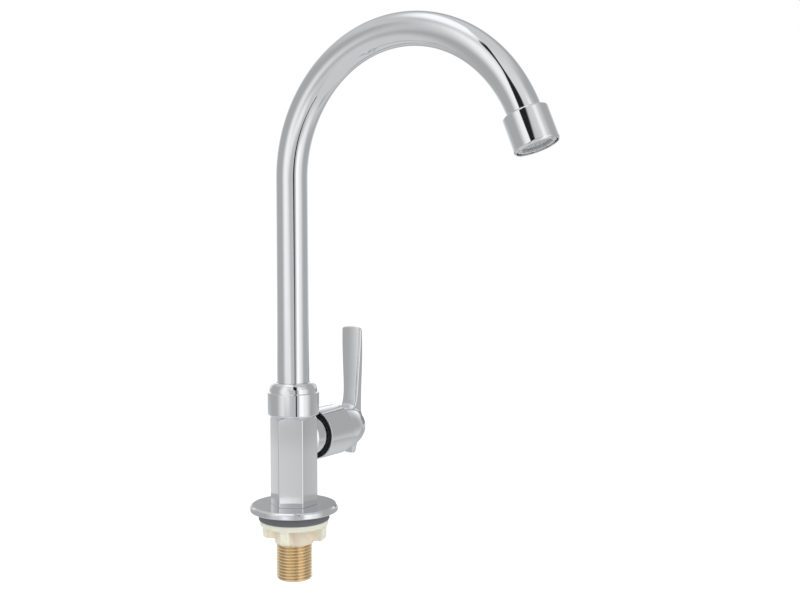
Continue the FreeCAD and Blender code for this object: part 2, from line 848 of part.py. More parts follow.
def handle_hub():
    """Round hollow hub that turns over the boss, with a post for the spindle's square."""
    body = on_handle_axis("handle_hub")
    turn(body, "hub_turning", [
        ("hub_start", "hub_inner"),
        ("hub_start", "hub_radius"),
        ("hub_end", "hub_radius"),
        ("hub_end", "0"),
        ("hub_web - hub_post_length", "0"),
        ("hub_web - hub_post_length", "hub_post_radius"),
        ("hub_web", "hub_post_radius"),
        ("hub_web", "hub_inner"),
    ], "H_Axis")
    edges = rims(body, "hub_radius", "hub_end", "x")
    round_off(body, "hub_far_edge", edges, "hub_round")
    mouth = rims(body, "hub_radius", "hub_start", "x")
    round_off(body, "hub_mouth_edge", mouth, "hub_round / 2")
    broach = new_sketch(body, "broach_outline", "YZ_Plane", "hub_web - hub_post_length")
    box(broach, "square_side / 2 + fit_gap", "square_side / 2 + fit_gap")
    pocket(body, "square_socket", broach, "hub_post_length + hub_end_wall - hub_floor",
           forwards=True)
    hole = circle(new_sketch(body, "hole_circle", "YZ_Plane", "hub_end"),
                  "screw_radius + fit_gap")
    pocket(body, "screw_hole", hole, "hub_end_wall")
    slot = new_sketch(body, "key_outline", "YZ_Plane", "hub_end")
    box(slot, "lever_key_width / 2 + fit_gap", "lever_key_length / 2 + fit_gap")
    pocket(body, "key_slot", slot, "lever_key_depth")
    return body


def lever_blade():
    """The lever's blade and tail, which run into its round root.

    The blade narrows to a waist over the root, flares above it and runs straight to its
    tip, and its inner face curves out to meet the root. The tail tapers both ways. The
    lever takes this body in by its own frame, so this one isn't placed on the handle's axis.
    """
    body = new_body("lever_blade")
    side = new_sketch(body, "blade_outline", "XZ_Plane")
    tip_face = "lever_end - blade_tip_setback"
    heel = "lever_end - blade_heel_thickness"
    outline(side, [
        ("lever_end - blade_root_thickness", "0"),
        ("lever_end", "0"),
        (tip_face, "blade_height"),
        (f"{tip_face} - blade_tip_thickness", "blade_height"),
        (heel, "blade_heel_height"),
        ("lever_end - blade_root_thickness", "blade_foot_height"),
    ])
    pad(body, "blade", side, "2 * blade_tip_half_width", both_sides=True)
    front = new_sketch(body, "waist_circles", "YZ_Plane", "lever_end")
    for sign in ("", "-"):
        middle = f"{sign}(blade_waist_half_width + blade_side_radius)"
        circle(front, "blade_side_radius", middle, "blade_waist_height")
    pocket(body, "hollow_sides", front, "blade_root_thickness")
    round_off(body, "blade_heel", creases(body, x=heel, z="blade_heel_height"),
              "blade_heel_radius")
    flare_end = "blade_waist_height + blade_flare_height"
    for side_name, width in (("near", "-blade_tip_half_width"), ("far", "blade_tip_half_width")):
        shoulder = creases(body, y=width, z=flare_end)
        round_off(body, f"{side_name}_flare", shoulder, "blade_side_radius")
        corner = creases(body, y=width, z="blade_height")
        round_off(body, f"{side_name}_tip", corner, "blade_tip_round")
    round_off(body, "blade_corners", long_edges(body), "blade_corner")

    tail_face = "lever_end - tail_setback"
    tail_back = f"{tail_face} - tail_thickness"
    under = new_sketch(body, "tail_outline", "XZ_Plane")
    outline(under, [
        ("lever_end - blade_root_thickness", "0"),
        (tail_back, "-tail_neck_drop"),
        (tail_back, "-tail_drop"),
        (tail_face, "-tail_drop"),
        ("lever_end", "0"),
    ])
    pad(body, "tail", under, "2 * tail_root_half_width", both_sides=True)
    taper = new_sketch(body, "taper_outlines", "YZ_Plane", "lever_end")
    for sign in ("", "-"):
        outline(taper, [
            (f"{sign}tail_root_half_width", "0"),
            (f"{sign}tail_half_width", "-tail_drop"),
            (f"{sign}tail_root_half_width", "-tail_drop"),
        ])
    pocket(body, "tail_taper", taper, "blade_root_thickness")
    neck = creases(body, x=tail_back, z="-tail_neck_drop")
    round_off(body, "tail_neck", neck, "tail_neck_radius")
    foot = creases(body, x=tail_face, z="-tail_drop")
    foot += creases(body, x=tail_back, z="-tail_drop")
    round_off(body, "tail_foot", foot, "blade_corner")
    return body


def lever():
    """Cast lever: a round root on the hub's end, with a blade above and a short tail below.

    The root has a key for the hub, the screw's seat and a recess for the button.
    """
    body = on_handle_axis("lever")
    middle = "hub_end + lever_root_length * lever_swell"
    turn(body, "root", [
        ("hub_end", "0"),
        ("lever_end", "0"),
        ("lever_end", "lever_end_radius"),
        (middle, "lever_mid_radius"),
        ("hub_end", "lever_root_radius"),
    ], "H_Axis")
    swell = rims(body, "lever_mid_radius", middle, "x")
    round_off(body, "root_swell", swell, "lever_swell_round")
    end = rims(body, "lever_end_radius", "lever_end", "x")
    round_off(body, "root_end", end, "lever_end_round")
    joined = body.newObject("PartDesign::Boolean", "root_and_blade")
    joined.setObjects([lever_blade()])
    joined.Type = "Fuse"

    key = new_sketch(body, "key_outline", "YZ_Plane", "hub_end - lever_key_depth + fit_gap")
    box(key, "lever_key_width / 2", "lever_key_length / 2")
    pad(body, "key", key, "lever_key_depth")
    recess = circle(new_sketch(body, "recess_circle", "YZ_Plane", "lever_end"), "button_radius")
    pocket(body, "button_recess", recess, "button_thickness")
    bore = circle(new_sketch(body, "bore_circle", "YZ_Plane", "lever_end"), "head_bore_radius")
    pocket(body, "head_bore", bore, "lever_root_length - screw_seat")
    hole = circle(new_sketch(body, "hole_circle", "YZ_Plane", "lever_end"),
                  "screw_radius + fit_gap")
    pocket(body, "screw_hole", hole, "lever_root_length + lever_key_depth")
    return body


def handle_screw():
    """Pan-head screw through the lever and the hub into the spindle's end."""
    body = on_handle_axis("handle_screw")
    turn(body, "screw_turning", [
        ("screw_tip", "0"),
        ("screw_tip", "screw_radius"),
        ("screw_head_base", "screw_radius"),
        ("screw_head_base", "screw_head_radius"),
        ("screw_head_base + screw_head_height", "screw_head_radius"),
        ("screw_head_base + screw_head_height", "0"),
    ], "H_Axis")
    edges = rims(body, "screw_head_radius", "screw_head_base + screw_head_height", "x")
    round_off(body, "head_dome", edges, "screw_head_round")
    return body


def handle_button():
    """Plain button that snaps over the screw in the face of the lever's root."""
    body = on_handle_axis("handle_button")
    inside = "button_radius - fit_gap"
    stem = "head_bore_radius - fit_gap"
    turn(body, "button_turning", [
        ("button_base - button_stem_length", "0"),
        ("button_base - button_stem_length", stem),
        ("button_base", stem),
        ("button_base", inside),
        ("lever_end", inside),
        ("lever_end", "0"),
    ], "H_Axis")
    round_off(body, "button_edge", rims(body, inside, "lever_end", "x"), "button_round")
    return body


# ---- swivel joint ------------------------------------------------------------------------

def swivel_sleeve():
    """Brass sleeve brazed into the foot of the spout, which turns in the body's socket."""
    body = new_body("swivel_sleeve")
    spigot = "tube_bore - fit_gap"
    top = "sleeve_flange_top + sleeve_spigot_length"
    turn(body, "sleeve_turning", [
        ("sleeve_bore", "sleeve_foot"),
        ("sleeve_radius", "sleeve_foot"),
        ("sleeve_radius", "sleeve_flange_base"),
        ("sleeve_flange_radius", "sleeve_flange_base"),
        ("sleeve_flange_radius", "sleeve_flange_top"),
        (spigot, "sleeve_flange_top"),
        (spigot, top),
        ("sleeve_bore", top),
    ])
    floor = "sleeve_radius - groove_depth"
    for count in range(2):
        middle = sleeve_groove(count)
        groove(body, f"sleeve_groove_{count + 1}", [
            (floor, f"{middle} - groove_width / 2"),
            ("sleeve_radius + overcut", f"{middle} - groove_width / 2"),
            ("sleeve_radius + overcut", f"{middle} + groove_width / 2"),
            (floor, f"{middle} + groove_width / 2"),
        ])
    return body


def sleeve_groove(count):
    """Where the swivel sleeve's seal grooves lie up the Z axis."""
    return f"sleeve_foot + sleeve_groove_low + {count} * sleeve_groove_pitch"


def sleeve_o_rings():
    """Two O-rings that seal the swivelling spout in the socket."""
    floor = "sleeve_radius - groove_depth"
    outer = "socket_radius - fit_gap"
    rings = []
    for count in range(2):
        name = f"sleeve_o_ring_{count + 1}"
        rings.append(ring_seal(name, floor, outer, sleeve_groove(count)))
    return group("sleeve_o_rings", rings)


def glide_ring(name, station):
    """Flat nylon ring that the flange of the swivel sleeve turns against."""
    body = new_body(name)
    turn(body, "ring_turning", [
        ("glide_inner", station),
        ("glide_outer", station),
        ("glide_outer", f"{station} + glide_ring_thickness"),
        ("glide_inner", f"{station} + glide_ring_thickness"),
    ])
    return body


def lower_glide_ring():
    """Glide ring on the end of the body's neck."""
    return glide_ring("lower_glide_ring", "glide_low")


def upper_glide_ring():
    """Glide ring under the shoulder of the collar nut."""
    return glide_ring("upper_glide_ring", "glide_high")


def collar_nut():
    """Round collar screwed on the body's neck; its shoulder keeps the spout in its socket."""
    body = new_body("collar_nut")
    thread = "neck_radius + fit_gap"
    cavity_base = "neck_top + fit_gap"
    step = "hex_top + collar_step"
    turn(body, "collar_turning", [
        (thread, "hex_top"),
        ("collar_radius", "hex_top"),
        ("collar_radius", step),
        ("collar_shoulder_radius", step),
        ("collar_shoulder_radius", "collar_top"),
        ("collar_opening", "collar_top"),
        ("collar_opening", "collar_cavity_top"),
        ("collar_cavity_radius", "collar_cavity_top"),
        ("collar_cavity_radius", cavity_base),
        (thread, cavity_base),
    ])
    round_off(body, "collar_foot", rims(body, "collar_radius", "hex_top"), "collar_foot_round")
    round_off(body, "collar_ledge", rims(body, "collar_radius", step), "collar_step_round")
    top = rims(body, "collar_shoulder_radius", "collar_top")
    round_off(body, "collar_shoulder", top, "collar_shoulder_round")
    return body


# ---- spout and outlet --------------------------------------------------------------------

def spout_tube():
    """Bent tube: a straight riser, one round bend, and a short straight in the outlet collar."""
    body = new_body("spout_tube")
    ring = new_sketch(body, "tube_section", "XY_Plane", "sleeve_flange_top")
    circle(ring, "tube_radius")
    circle(ring, "tube_bore")
    path = new_sketch(body, "tube_path", "YZ_Plane")
    foot = FreeCAD.Vector(0, value("sleeve_flange_top"), 0)
    spring = FreeCAD.Vector(0, value("riser_top"), 0)
    centre = FreeCAD.Vector(-value("bend_radius"), value("riser_top"), 0)
    bend = Part.Circle(centre, FreeCAD.Vector(0, 0, 1), value("bend_radius"))
    riser = path.addGeometry(Part.LineSegment(foot, spring))
    arc = path.addGeometry(Part.ArcOfCircle(bend, 0, radians(value("bend_angle"))))
    end = path.getPoint(arc, 2)
    run = FreeCAD.Rotation(FreeCAD.Vector(0, 0, 1), value("bend_angle"))
    tip = end + run.multVec(FreeCAD.Vector(0, value("tube_entry"), 0))
    straight = path.addGeometry(Part.LineSegment(end, tip))
    place_point(path, riser, 1, "0", "sleeve_flange_top")
    place_point(path, riser, 2, "0", "riser_top")
    place_point(path, arc, 3, "-bend_radius", "riser_top")
    path.addConstraint(Sketcher.Constraint("Coincident", riser, 2, arc, 1))
    reach = "bend_radius * (cos(bend_angle) - 1)"
    rule = path.addConstraint(Sketcher.Constraint("DistanceX", -1, 1, arc, 2, value(reach)))
    path.setExpression(f"Constraints[{rule}]", bound(reach))
    path.addConstraint(Sketcher.Constraint("Tangent", arc, 2, straight, 1))
    rule = path.addConstraint(Sketcher.Constraint("Distance", straight, value("tube_entry")))
    path.setExpression(f"Constraints[{rule}]", bound("tube_entry"))
    tube = body.newObject("PartDesign::AdditivePipe", "bent_tube")
    tube.Profile = ring
    tube.Spine = (path, [])
    return body


def outlet_collar():
    """Chromed collar brazed on the end of the spout, threaded inside for the aerator."""
    body = on_outlet("outlet_collar")
    seat = "tube_radius + fit_gap"
    turn(body, "outlet_turning", [
        (seat, "0"),
        ("outlet_radius", "0"),
        ("outlet_radius", "outlet_length"),
        ("outlet_inner", "outlet_length"),
        ("outlet_inner", "tube_entry"),
        (seat, "tube_entry"),
    ])
    edges = rims(body, "outlet_radius", "0")
    edges += rims(body, "outlet_radius", "outlet_length")
    round_off(body, "outlet_edges", edges, "outlet_round")
    return body


def aerator_washer():
    """Flat rubber washer between the end of the spout and the aerator."""
    body = on_outlet("aerator_washer")
    turn(body, "washer_ring", [
        ("washer_bore_radius", "tube_entry"),
        ("aerator_radius", "tube_entry"),
        ("aerator_radius", "aerator_top"),
        ("washer_bore_radius", "aerator_top"),
    ])
    return body


def aerator_housing():
    """Plastic aerator body screwed up inside the collar, with notches for its key."""
    body = on_outlet("aerator_housing")
    mouth = "aerator_foot - aerator_mouth_length"
    turn(body, "aerator_turning", [
        ("aerator_inner", "aerator_top"),
        ("aerator_radius", "aerator_top"),
        ("aerator_radius", mouth),
        ("aerator_mouth_radius", mouth),
        ("aerator_mouth_radius", "aerator_foot"),
        ("aerator_opening_radius", "aerator_foot"),
        ("aerator_opening_radius", "ledge_top"),
        ("aerator_inner", "ledge_top"),
    ])
    sketch = new_sketch(body, "notch_outline", "XY_Plane", "aerator_foot")
    half = "notch_width / 2"
    floor = "aerator_mouth_radius - notch_depth / 2"
    outline(sketch, [
        (floor, f"-{half}"),
        ("aerator_radius + overcut", f"-{half}"),
        ("aerator_radius + overcut", half),
        (floor, half),
    ])
    notch = pocket(body, "notch", sketch, "notch_depth")
    around(body, "notches", [notch], "aerator_notches")
    return body


def aerator_screen():
    """Pierced metal screen that lies on the ledge of the aerator."""
    body = on_outlet("aerator_screen")
    radius = "aerator_inner - fit_gap"
    disc = circle(new_sketch(body, "screen_circle", "XY_Plane", "screen_top"), radius)
    pad(body, "screen_disc", disc, "screen_thickness")
    middle = box(new_sketch(body, "middle_outline", "XY_Plane", "ledge_top"),
                 "screen_hole / 2", "screen_hole / 2")
    pocket(body, "middle_hole", middle, "screen_thickness")
    for ring in range(1, int(value("screen_rings")) + 1):
        outline_name = f"hole_outline_{ring}"
        at = f"{ring} * screen_pitch"
        hole = outline(new_sketch(body, outline_name, "XY_Plane", "ledge_top"), [
            (f"{at} - screen_hole / 2", "-screen_hole / 2"),
            (f"{at} + screen_hole / 2", "-screen_hole / 2"),
            (f"{at} + screen_hole / 2", "screen_hole / 2"),
            (f"{at} - screen_hole / 2", "screen_hole / 2"),
        ])
        cut = pocket(body, f"hole_{ring}", hole, "screen_thickness")
        around(body, f"hole_ring_{ring}", [cut], f"{ring} * 6")
    return body


def flow_former():
    """Plastic cup over the screen, whose pierced floor splits the water into jets."""
    body = on_outlet("flow_former")
    outer = "aerator_inner - fit_gap"
    inner = f"{outer} - former_wall"
    floor = "former_top + former_plate"
    turn(body, "former_turning", [
        ("0", "former_top"),
        (outer, "former_top"),
        (outer, "screen_top - fit_gap"),
        (inner, "screen_top - fit_gap"),
        (inner, floor),
        ("0", floor),
    ])
    sketch = new_sketch(body, "jet_circle", "XY_Plane", floor)
    circle(sketch, "former_hole_radius", "former_ring_radius")
    jet = pocket(body, "jet", sketch, "former_plate")
    around(body, "jets", [jet], "former_holes")
    return body


# ---- lock nut ----------------------------------------------------------------------------

def lock_nut():
    """Moulded nut that clamps the faucet to the deck from below.

    A wide sloping flange bears on the deck, a plain hub carries the thread, and four wings,
    each a thin web that ends in a thick rib, are there to turn it by hand.
    """
    body = new_body("lock_nut", tilt="nut_turn", axis=(0, 0, 1))
    under = "-nut_flange_thickness"
    foot = "-nut_height"
    turn(body, "nut_turning", [
        ("nut_bore_radius", "0"),
        ("nut_flange_radius", "0"),
        ("nut_flange_foot_radius", under),
        ("nut_hub_radius", under),
        ("nut_foot_radius", f"{foot} + nut_foot_chamfer"),
        ("nut_foot_radius - nut_foot_chamfer / 2", foot),
        ("nut_bore_radius", foot),
    ])
    low = "-wing_height"
    inside = "nut_hub_radius - nut_hub_taper - part_gap"
    web = new_sketch(body, "web_outline", "XZ_Plane")
    outline(web, [
        (inside, under),
        ("wing_radius - wing_web_inset / 2", under),
        ("wing_foot_radius - wing_web_inset / 2", low),
        (inside, low),
    ])
    web_pad = pad(body, "web", web, "wing_web_thickness", both_sides=True)
    rib = new_sketch(body, "rib_outline", "XZ_Plane")
    outline(rib, [
        ("wing_radius - wing_web_inset", under),
        ("wing_radius", under),
        ("wing_foot_radius", f"{low} + wing_chamfer"),
        ("wing_foot_radius - wing_chamfer", low),
        ("wing_foot_radius - wing_web_inset", low),
    ])
    rib_pad = pad(body, "rib", rib, "wing_rib_thickness", both_sides=True)
    around(body, "wings", [web_pad, rib_pad], "nut_wings")
    return body


# ---- the assembly ------------------------------------------------------------------------

pieces = [
    threaded_shank(),
    base_gasket(),
    base_flange(),
    shank_seal(),
    faucet_body(),
    inlet_seal(),
    fixed_disc(),
    moving_disc(),
    cartridge_housing(),
    housing_o_ring(),
    spindle(),
    spindle_o_rings(),
    spindle_clip(),
    dust_ring(),
    handle_hub(),
    lever(),
    handle_screw(),
    handle_button(),
    swivel_sleeve(),
    sleeve_o_rings(),
    lower_glide_ring(),
    upper_glide_ring(),
    collar_nut(),
    spout_tube(),
    outlet_collar(),
    aerator_washer(),
    aerator_housing(),
    aerator_screen(),
    flow_former(),
    lock_nut(),
]
doc.recompute()

for item in doc.Objects:
    if "Invalid" in item.State or "Error" in item.State:
        raise RuntimeError(f"{item.Label} failed: {item.State}")
for piece in pieces:
    if piece.Shape.isNull() or not piece.Shape.isValid():
        raise RuntimeError(f"{piece.Label} has no valid shape")

os.makedirs("parts", exist_ok=True)
for piece in pieces:
    piece.Shape.exportStep(f"parts/{piece.Label}.step")
    print(f"{piece.Label}: {len(piece.Shape.Solids)} solid(s), {piece.Shape.Volume:.1f} mm3")
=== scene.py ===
import math

import bmesh
import bpy
import numpy as np
from mathutils import Matrix, Vector


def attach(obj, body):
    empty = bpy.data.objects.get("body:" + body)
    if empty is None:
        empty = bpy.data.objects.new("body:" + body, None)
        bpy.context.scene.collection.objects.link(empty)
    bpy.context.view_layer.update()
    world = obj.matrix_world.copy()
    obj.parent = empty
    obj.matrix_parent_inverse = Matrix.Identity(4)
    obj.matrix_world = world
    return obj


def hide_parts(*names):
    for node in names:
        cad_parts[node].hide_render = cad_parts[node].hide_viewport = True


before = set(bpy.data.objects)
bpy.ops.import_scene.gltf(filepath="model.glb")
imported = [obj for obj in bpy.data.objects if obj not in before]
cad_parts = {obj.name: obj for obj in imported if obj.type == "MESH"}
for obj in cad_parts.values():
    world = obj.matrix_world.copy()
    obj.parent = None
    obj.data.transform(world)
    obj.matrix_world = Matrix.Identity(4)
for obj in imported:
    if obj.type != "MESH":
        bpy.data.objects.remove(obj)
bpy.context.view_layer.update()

# ---- Threaded shank ----------------------------------------------------------------------
# The tail that goes through the deck: brass bar, turned, bored through, and cut with a
# G1/2 pipe thread whose first turn is chamfered away. Its slim top screws into the body.


def rounded(corners, radii, steps=6):
    """A closed outline in which every corner becomes an arc that meets both its sides.

    With unit vectors a and b from a corner to its neighbours and half the angle between
    them h, the arc starts radius / tan(h) down each side and its centre lies
    radius / sin(h) along a + b. The arc turns from one radius to the other at an even
    rate. One more point on each side, just past the arc, keeps the side flat in the light.
    The corners may carry any number of outlines at once along their middle axes.
    """
    corners = np.asarray(corners, float)
    radii = np.asarray(radii, float).reshape((-1,) + (1,) * (corners.ndim - 1))
    to_a = np.roll(corners, 1, axis=0) - corners
    to_b = np.roll(corners, -1, axis=0) - corners
    len_a = np.linalg.norm(to_a, axis=-1, keepdims=True)
    len_b = np.linalg.norm(to_b, axis=-1, keepdims=True)
    a, b = to_a / len_a, to_b / len_b
    half = np.arccos(np.clip((a * b).sum(-1, keepdims=True), -1, 1)) / 2
    half = np.minimum(half, math.pi / 2 - 1e-4)
    room = 0.44 * np.minimum(len_a, len_b)
    cut = np.minimum(radii / np.tan(half), room)
    radius = cut * np.tan(half)
    middle = (a + b) / np.linalg.norm(a + b, axis=-1, keepdims=True)
    centre = corners + middle * radius / np.sin(half)
    first, last = corners + a * cut - centre, corners + b * cut - centre
    sweep = math.pi - 2 * half
    t = np.linspace(0, 1, steps + 1).reshape((1, -1) + (1,) * (corners.ndim - 1))
    first, last, centre, sweep = (v[:, None] for v in (first, last, centre, sweep))
    arcs = centre + (np.sin((1 - t) * sweep) * first + np.sin(t * sweep) * last) / np.sin(sweep)
    guard = cut + np.minimum(0.25, 0.04 * np.minimum(len_a, len_b))
    before, after = (corners + a * guard)[:, None], (corners + b * guard)[:, None]
    path = np.concatenate([before, arcs, after], axis=1)
    return path.reshape((-1,) + corners.shape[1:])


def upright(x, y, z):
    """Row coordinates of a point on the shank's axis: the same ones."""
    return x, y, z


def shell(name, grid, body, node=None, finish=None, poles=False):
    """One closed skin through a grid of points in millimetres that wraps both ways.

    Point (i, j) is joined to (i, j + 1), (i + 1, j + 1) and (i + 1, j). The volume inside
    is the sum of the triple products of each face's corners, and its sign says whether
    the faces look outwards. Poles are rows of points that lie together, and are merged.
    """
    rows, columns = grid.shape[:2]
    points = (grid.reshape(-1, 3) * 0.001).astype(np.float64)
    i, j = np.arange(rows)[:, None], np.arange(columns)[None, :]
    i_next, j_next = (i + 1) % rows, (j + 1) % columns
    corners = (i * columns + j, i * columns + j_next,
               i_next * columns + j_next, i_next * columns + j)
    faces = np.stack([np.broadcast_to(c, (rows, columns)) for c in corners], -1).reshape(-1, 4)
    p = points[faces]
    volume = (p[:, 0] * np.cross(p[:, 1], p[:, 2])).sum()
    volume += (p[:, 0] * np.cross(p[:, 2], p[:, 3])).sum()
    if volume < 0:
        faces = faces[:, ::-1]
    mesh = bpy.data.meshes.new(name)
    mesh.from_pydata(points, [], faces.tolist())
    if poles:
        work = bmesh.new()
        work.from_mesh(mesh)
        bmesh.ops.remove_doubles(work, verts=work.verts, dist=2e-6)
        work.to_mesh(mesh)
        work.free()
    return fitted(name, mesh, body, node, finish)


def fitted(name, mesh, body, node, finish):
    """Put a mesh on a CAD body, in place of a CAD node where one is named."""
    mesh.shade_smooth()
    piece = bpy.data.objects.new(name, mesh)
    bpy.context.scene.collection.objects.link(piece)
    mesh.materials.append(finish)
    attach(piece, body)
    if node:
        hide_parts(node)
    return piece


def turned(name, profile, body, node, finish, place=upright, columns=144, steps=6):
    """A turned piece: corners of (radius, station, rounding), carried round an axis.

    Each point of the rounded profile goes to (r cos t, r sin t, station), and place
    turns that into row coordinates. A radius of nought makes a pole.
    """
    profile = np.array(profile, float)
    path = rounded(profile[:, :2], profile[:, 2], steps)
    r, s = np.maximum(path[:, 0], 0)[:, None], path[:, 1][:, None]
    t = np.linspace(0, 2 * math.pi, columns, endpoint=False)[None, :]
    x, y, z = place(r * np.cos(t), r * np.sin(t), s + 0 * t)
    grid = np.stack(np.broadcast_arrays(x, y, z), -1)
    return shell(name, grid, body, node, finish, poles=profile[:, 0].min() <= 0)


def add(tree, kind, inputs=None, **settings):
    """A new node: settings go on the node, inputs are links or plain values."""
    made = tree.nodes.new(kind)
    for key, setting in settings.items():
        setattr(made, key, setting)
    for key, source in (inputs or {}).items():
        if isinstance(source, bpy.types.NodeSocket):
            tree.links.new(source, made.inputs[key])
        else:
            made.inputs[key].default_value = source
    return made


def new_finish(name, **constants):
    """A material with one Principled shader, its constants set on its own sockets."""
    made = bpy.data.materials.new(name)
    made.use_nodes = True
    shader = made.node_tree.nodes["Principled BSDF"]
    for key, constant in constants.items():
        shader.inputs[key.replace("_", " ")].default_value = constant
    return made, made.node_tree, shader


def handling_marks():
    """Node group: soft smudges and a fine grain over a surface, from Object coordinates.

    Smudge is broad noise pulled out to Low..High for roughness, Speck is fine noise from
    0 to 1 for colour, and Height is the fine noise for a Bump node.
    """
    group = bpy.data.node_groups.new("handling marks", "ShaderNodeTree")
    knobs = (("Smudge Scale", 60.0), ("Grain Scale", 900.0), ("Low", 0.2), ("High", 0.4))
    for label, start in knobs:
        socket = group.interface.new_socket(label, in_out="INPUT", socket_type="NodeSocketFloat")
        socket.default_value = start
    for label in ("Smudge", "Speck", "Height"):
        group.interface.new_socket(label, in_out="OUTPUT", socket_type="NodeSocketFloat")
    inside = add(group, "NodeGroupInput")
    outside = add(group, "NodeGroupOutput")
    where = add(group, "ShaderNodeTexCoord").outputs["Object"]
    broad = add(group, "ShaderNodeTexNoise", {
        "Vector": where, "Scale": inside.outputs["Smudge Scale"], "Detail": 4.0, "Roughness": 0.6})
    fine = add(group, "ShaderNodeTexNoise", {
        "Vector": where, "Scale": inside.outputs["Grain Scale"], "Detail": 3.0, "Roughness": 0.6})
    spread = add(group, "ShaderNodeMapRange", {
        "Value": broad.outputs["Fac"], "From Min": 0.35, "From Max": 0.7,
        "To Min": inside.outputs["Low"], "To Max": inside.outputs["High"]})
    group.links.new(spread.outputs["Result"], outside.inputs["Smudge"])
    group.links.new(fine.outputs["Fac"], outside.inputs["Speck"])
    group.links.new(fine.outputs["Fac"], outside.inputs["Height"])
    return group


marks = handling_marks()


def marked(tree, shader, smudge_scale, grain_scale, low, high, bump):
    """Place the handling marks in a material: roughness from Smudge, bump from Height."""
    made = add(tree, "ShaderNodeGroup", node_tree=marks)
    for label, number in (("Smudge Scale", smudge_scale), ("Grain Scale", grain_scale),
                          ("Low", low), ("High", high)):
        made.inputs[label].default_value = number
    tree.links.new(made.outputs["Smudge"], shader.inputs["Roughness"])
    raised = add(tree, "ShaderNodeBump", {
        "Height": made.outputs["Height"], "Strength": bump, "Distance": 0.0001})
    tree.links.new(raised.outputs["Normal"], shader.inputs["Normal"])
    return made


def from_axis(tree):
    """A point's distance from the shank's axis, in metres, from Object coordinates."""
    where = add(tree, "ShaderNodeTexCoord").outputs["Object"]
    flat = add(tree, "ShaderNodeVectorMath", {0: where, 1: (1.0, 1.0, 0.0)},
               operation="MULTIPLY")
    out = add(tree, "ShaderNodeVectorMath", {0: flat.outputs["Vector"]}, operation="LENGTH")
    return out.outputs["Value"]


thread_pitch = 1.8143
thread_crest = 10.47
thread_root = 9.46
shank_foot = -35.0
shank_top = 21.0
thread_end = -1.5
runout_radius = 10.36
runout_top = 5.4
spigot_radius = 9.0
foot_radius = 9.42
foot_cone = 9.45
bore = 6.75
bore_edge = 0.4

brass_thread, tree, shader = new_finish("cut_brass", Metallic=1.0)
placed = marked(tree, shader, 220.0, 2600.0, 0.20, 0.30, 0.06)
# The thread's colour goes from dark at the root to light at the crest, by the distance from the
# axis: painted shade in the grooves and a painted highlight on the crests.
height = add(tree, "ShaderNodeMapRange", {
    "Value": from_axis(tree), "From Min": (thread_root + 0.1) * 0.001,
    "From Max": (thread_crest - 0.25) * 0.001})
tint = add(tree, "ShaderNodeValToRGB", {"Fac": height.outputs["Result"]})
tint.color_ramp.elements[0].color = (0.66, 0.47, 0.26, 1)
tint.color_ramp.elements[1].color = (0.98, 0.83, 0.58, 1)
spots = add(tree, "ShaderNodeMix", {
    "Factor": placed.outputs["Speck"], "A": tint.outputs["Color"], "B": (0.88, 0.69, 0.42, 1)},
    data_type="RGBA")
spotted = add(tree, "ShaderNodeMix", {
    "Factor": 0.55, "A": tint.outputs["Color"], "B": spots.outputs["Result"]},
    data_type="RGBA")
tree.links.new(spotted.outputs["Result"], shader.inputs["Base Color"])


def threaded_skin():
    """The shank's skin: turned steps, with the thread laid over the outer wall.

    The thread's radius at height z and angle t is root + (crest - root) * w, where w is
    the share of the pitch at z / pitch - t / 360 degrees folded into a ridge and softened
    at its crest and root by a sine, and it stays inside a cone at the shank's foot. A row
    whose radius is given as nought takes the thread's.
    """
    cut = np.arange(shank_foot + 0.02, thread_end, thread_pitch / 14)
    z = np.concatenate([
        [shank_foot + bore_edge, shank_foot, shank_foot, shank_foot], cut,
        [thread_end + 0.1, runout_top, runout_top, shank_top - 0.6,
         shank_top, shank_top, shank_top - bore_edge]])
    r = np.concatenate([
        [bore, bore + bore_edge, foot_radius - 0.12, foot_radius], cut * 0,
        [runout_radius, runout_radius, spigot_radius, spigot_radius,
         spigot_radius - 0.6, bore + bore_edge, bore]])
    t = np.linspace(0, 2 * math.pi, 128, endpoint=False)[None, :]
    z = z[:, None] + 0 * t
    share = (z / thread_pitch - t / (2 * math.pi)) % 1
    fold = 1 - 2 * np.abs(2 * share - 1)
    ridge = 0.5 + 0.5 * np.sin(fold * math.pi / 2) * (0.8 + 0.2 * np.abs(fold))
    wall = thread_root + (thread_crest - thread_root) * ridge
    cone = foot_cone + (z - shank_foot)
    wall = np.minimum(np.minimum(wall, cone), thread_crest)
    r = np.where(r[:, None] > 0, r[:, None], wall)
    return np.stack([r * np.cos(t), r * np.sin(t), z], -1)


shell("shank_with_thread", threaded_skin(), "faucet", "threaded_shank",
      brass_thread)

# ---- Base gasket -------------------------------------------------------------------------
# A grey rubber ring, moulded, that seals the flange to the deck. Its edges are soft, and
# it has the dull bloom of new rubber.


def speckled(name, marking, dark, light, **constants):
    """A finish with handling marks, whose colour goes from dark to light with the specks.

    The marking is the smudge and grain scales, the low and high roughness and the bump.
    """
    made, tree, shader = new_finish(name, **constants)
    placed = marked(tree, shader, *marking)
    tint = add(tree, "ShaderNodeMix", {
        "Factor": placed.outputs["Speck"], "A": (*dark, 1), "B": (*light, 1)},
        data_type="RGBA")
    tree.links.new(tint.outputs["Result"], shader.inputs["Base Color"])
    return made


rubber = speckled("grey_rubber", (140.0, 1800.0, 0.55, 0.75, 0.25),
                  (0.105, 0.112, 0.125), (0.175, 0.185, 0.20), Specular_IOR_Level=0.35)
turned("rubber_gasket", [(10.56, 0, 0.2), (20.6, 0, 0.6), (20.6, 4.0, 0.4), (10.56, 4.0, 0.2)],
       "faucet", "base_gasket", rubber)

# ---- Base flange -------------------------------------------------------------------------
# The chromed cover plate on the deck: a spun brass disc whose underside rises from the
# gasket to a softened rim, buffed and plated as all the bright pieces are.


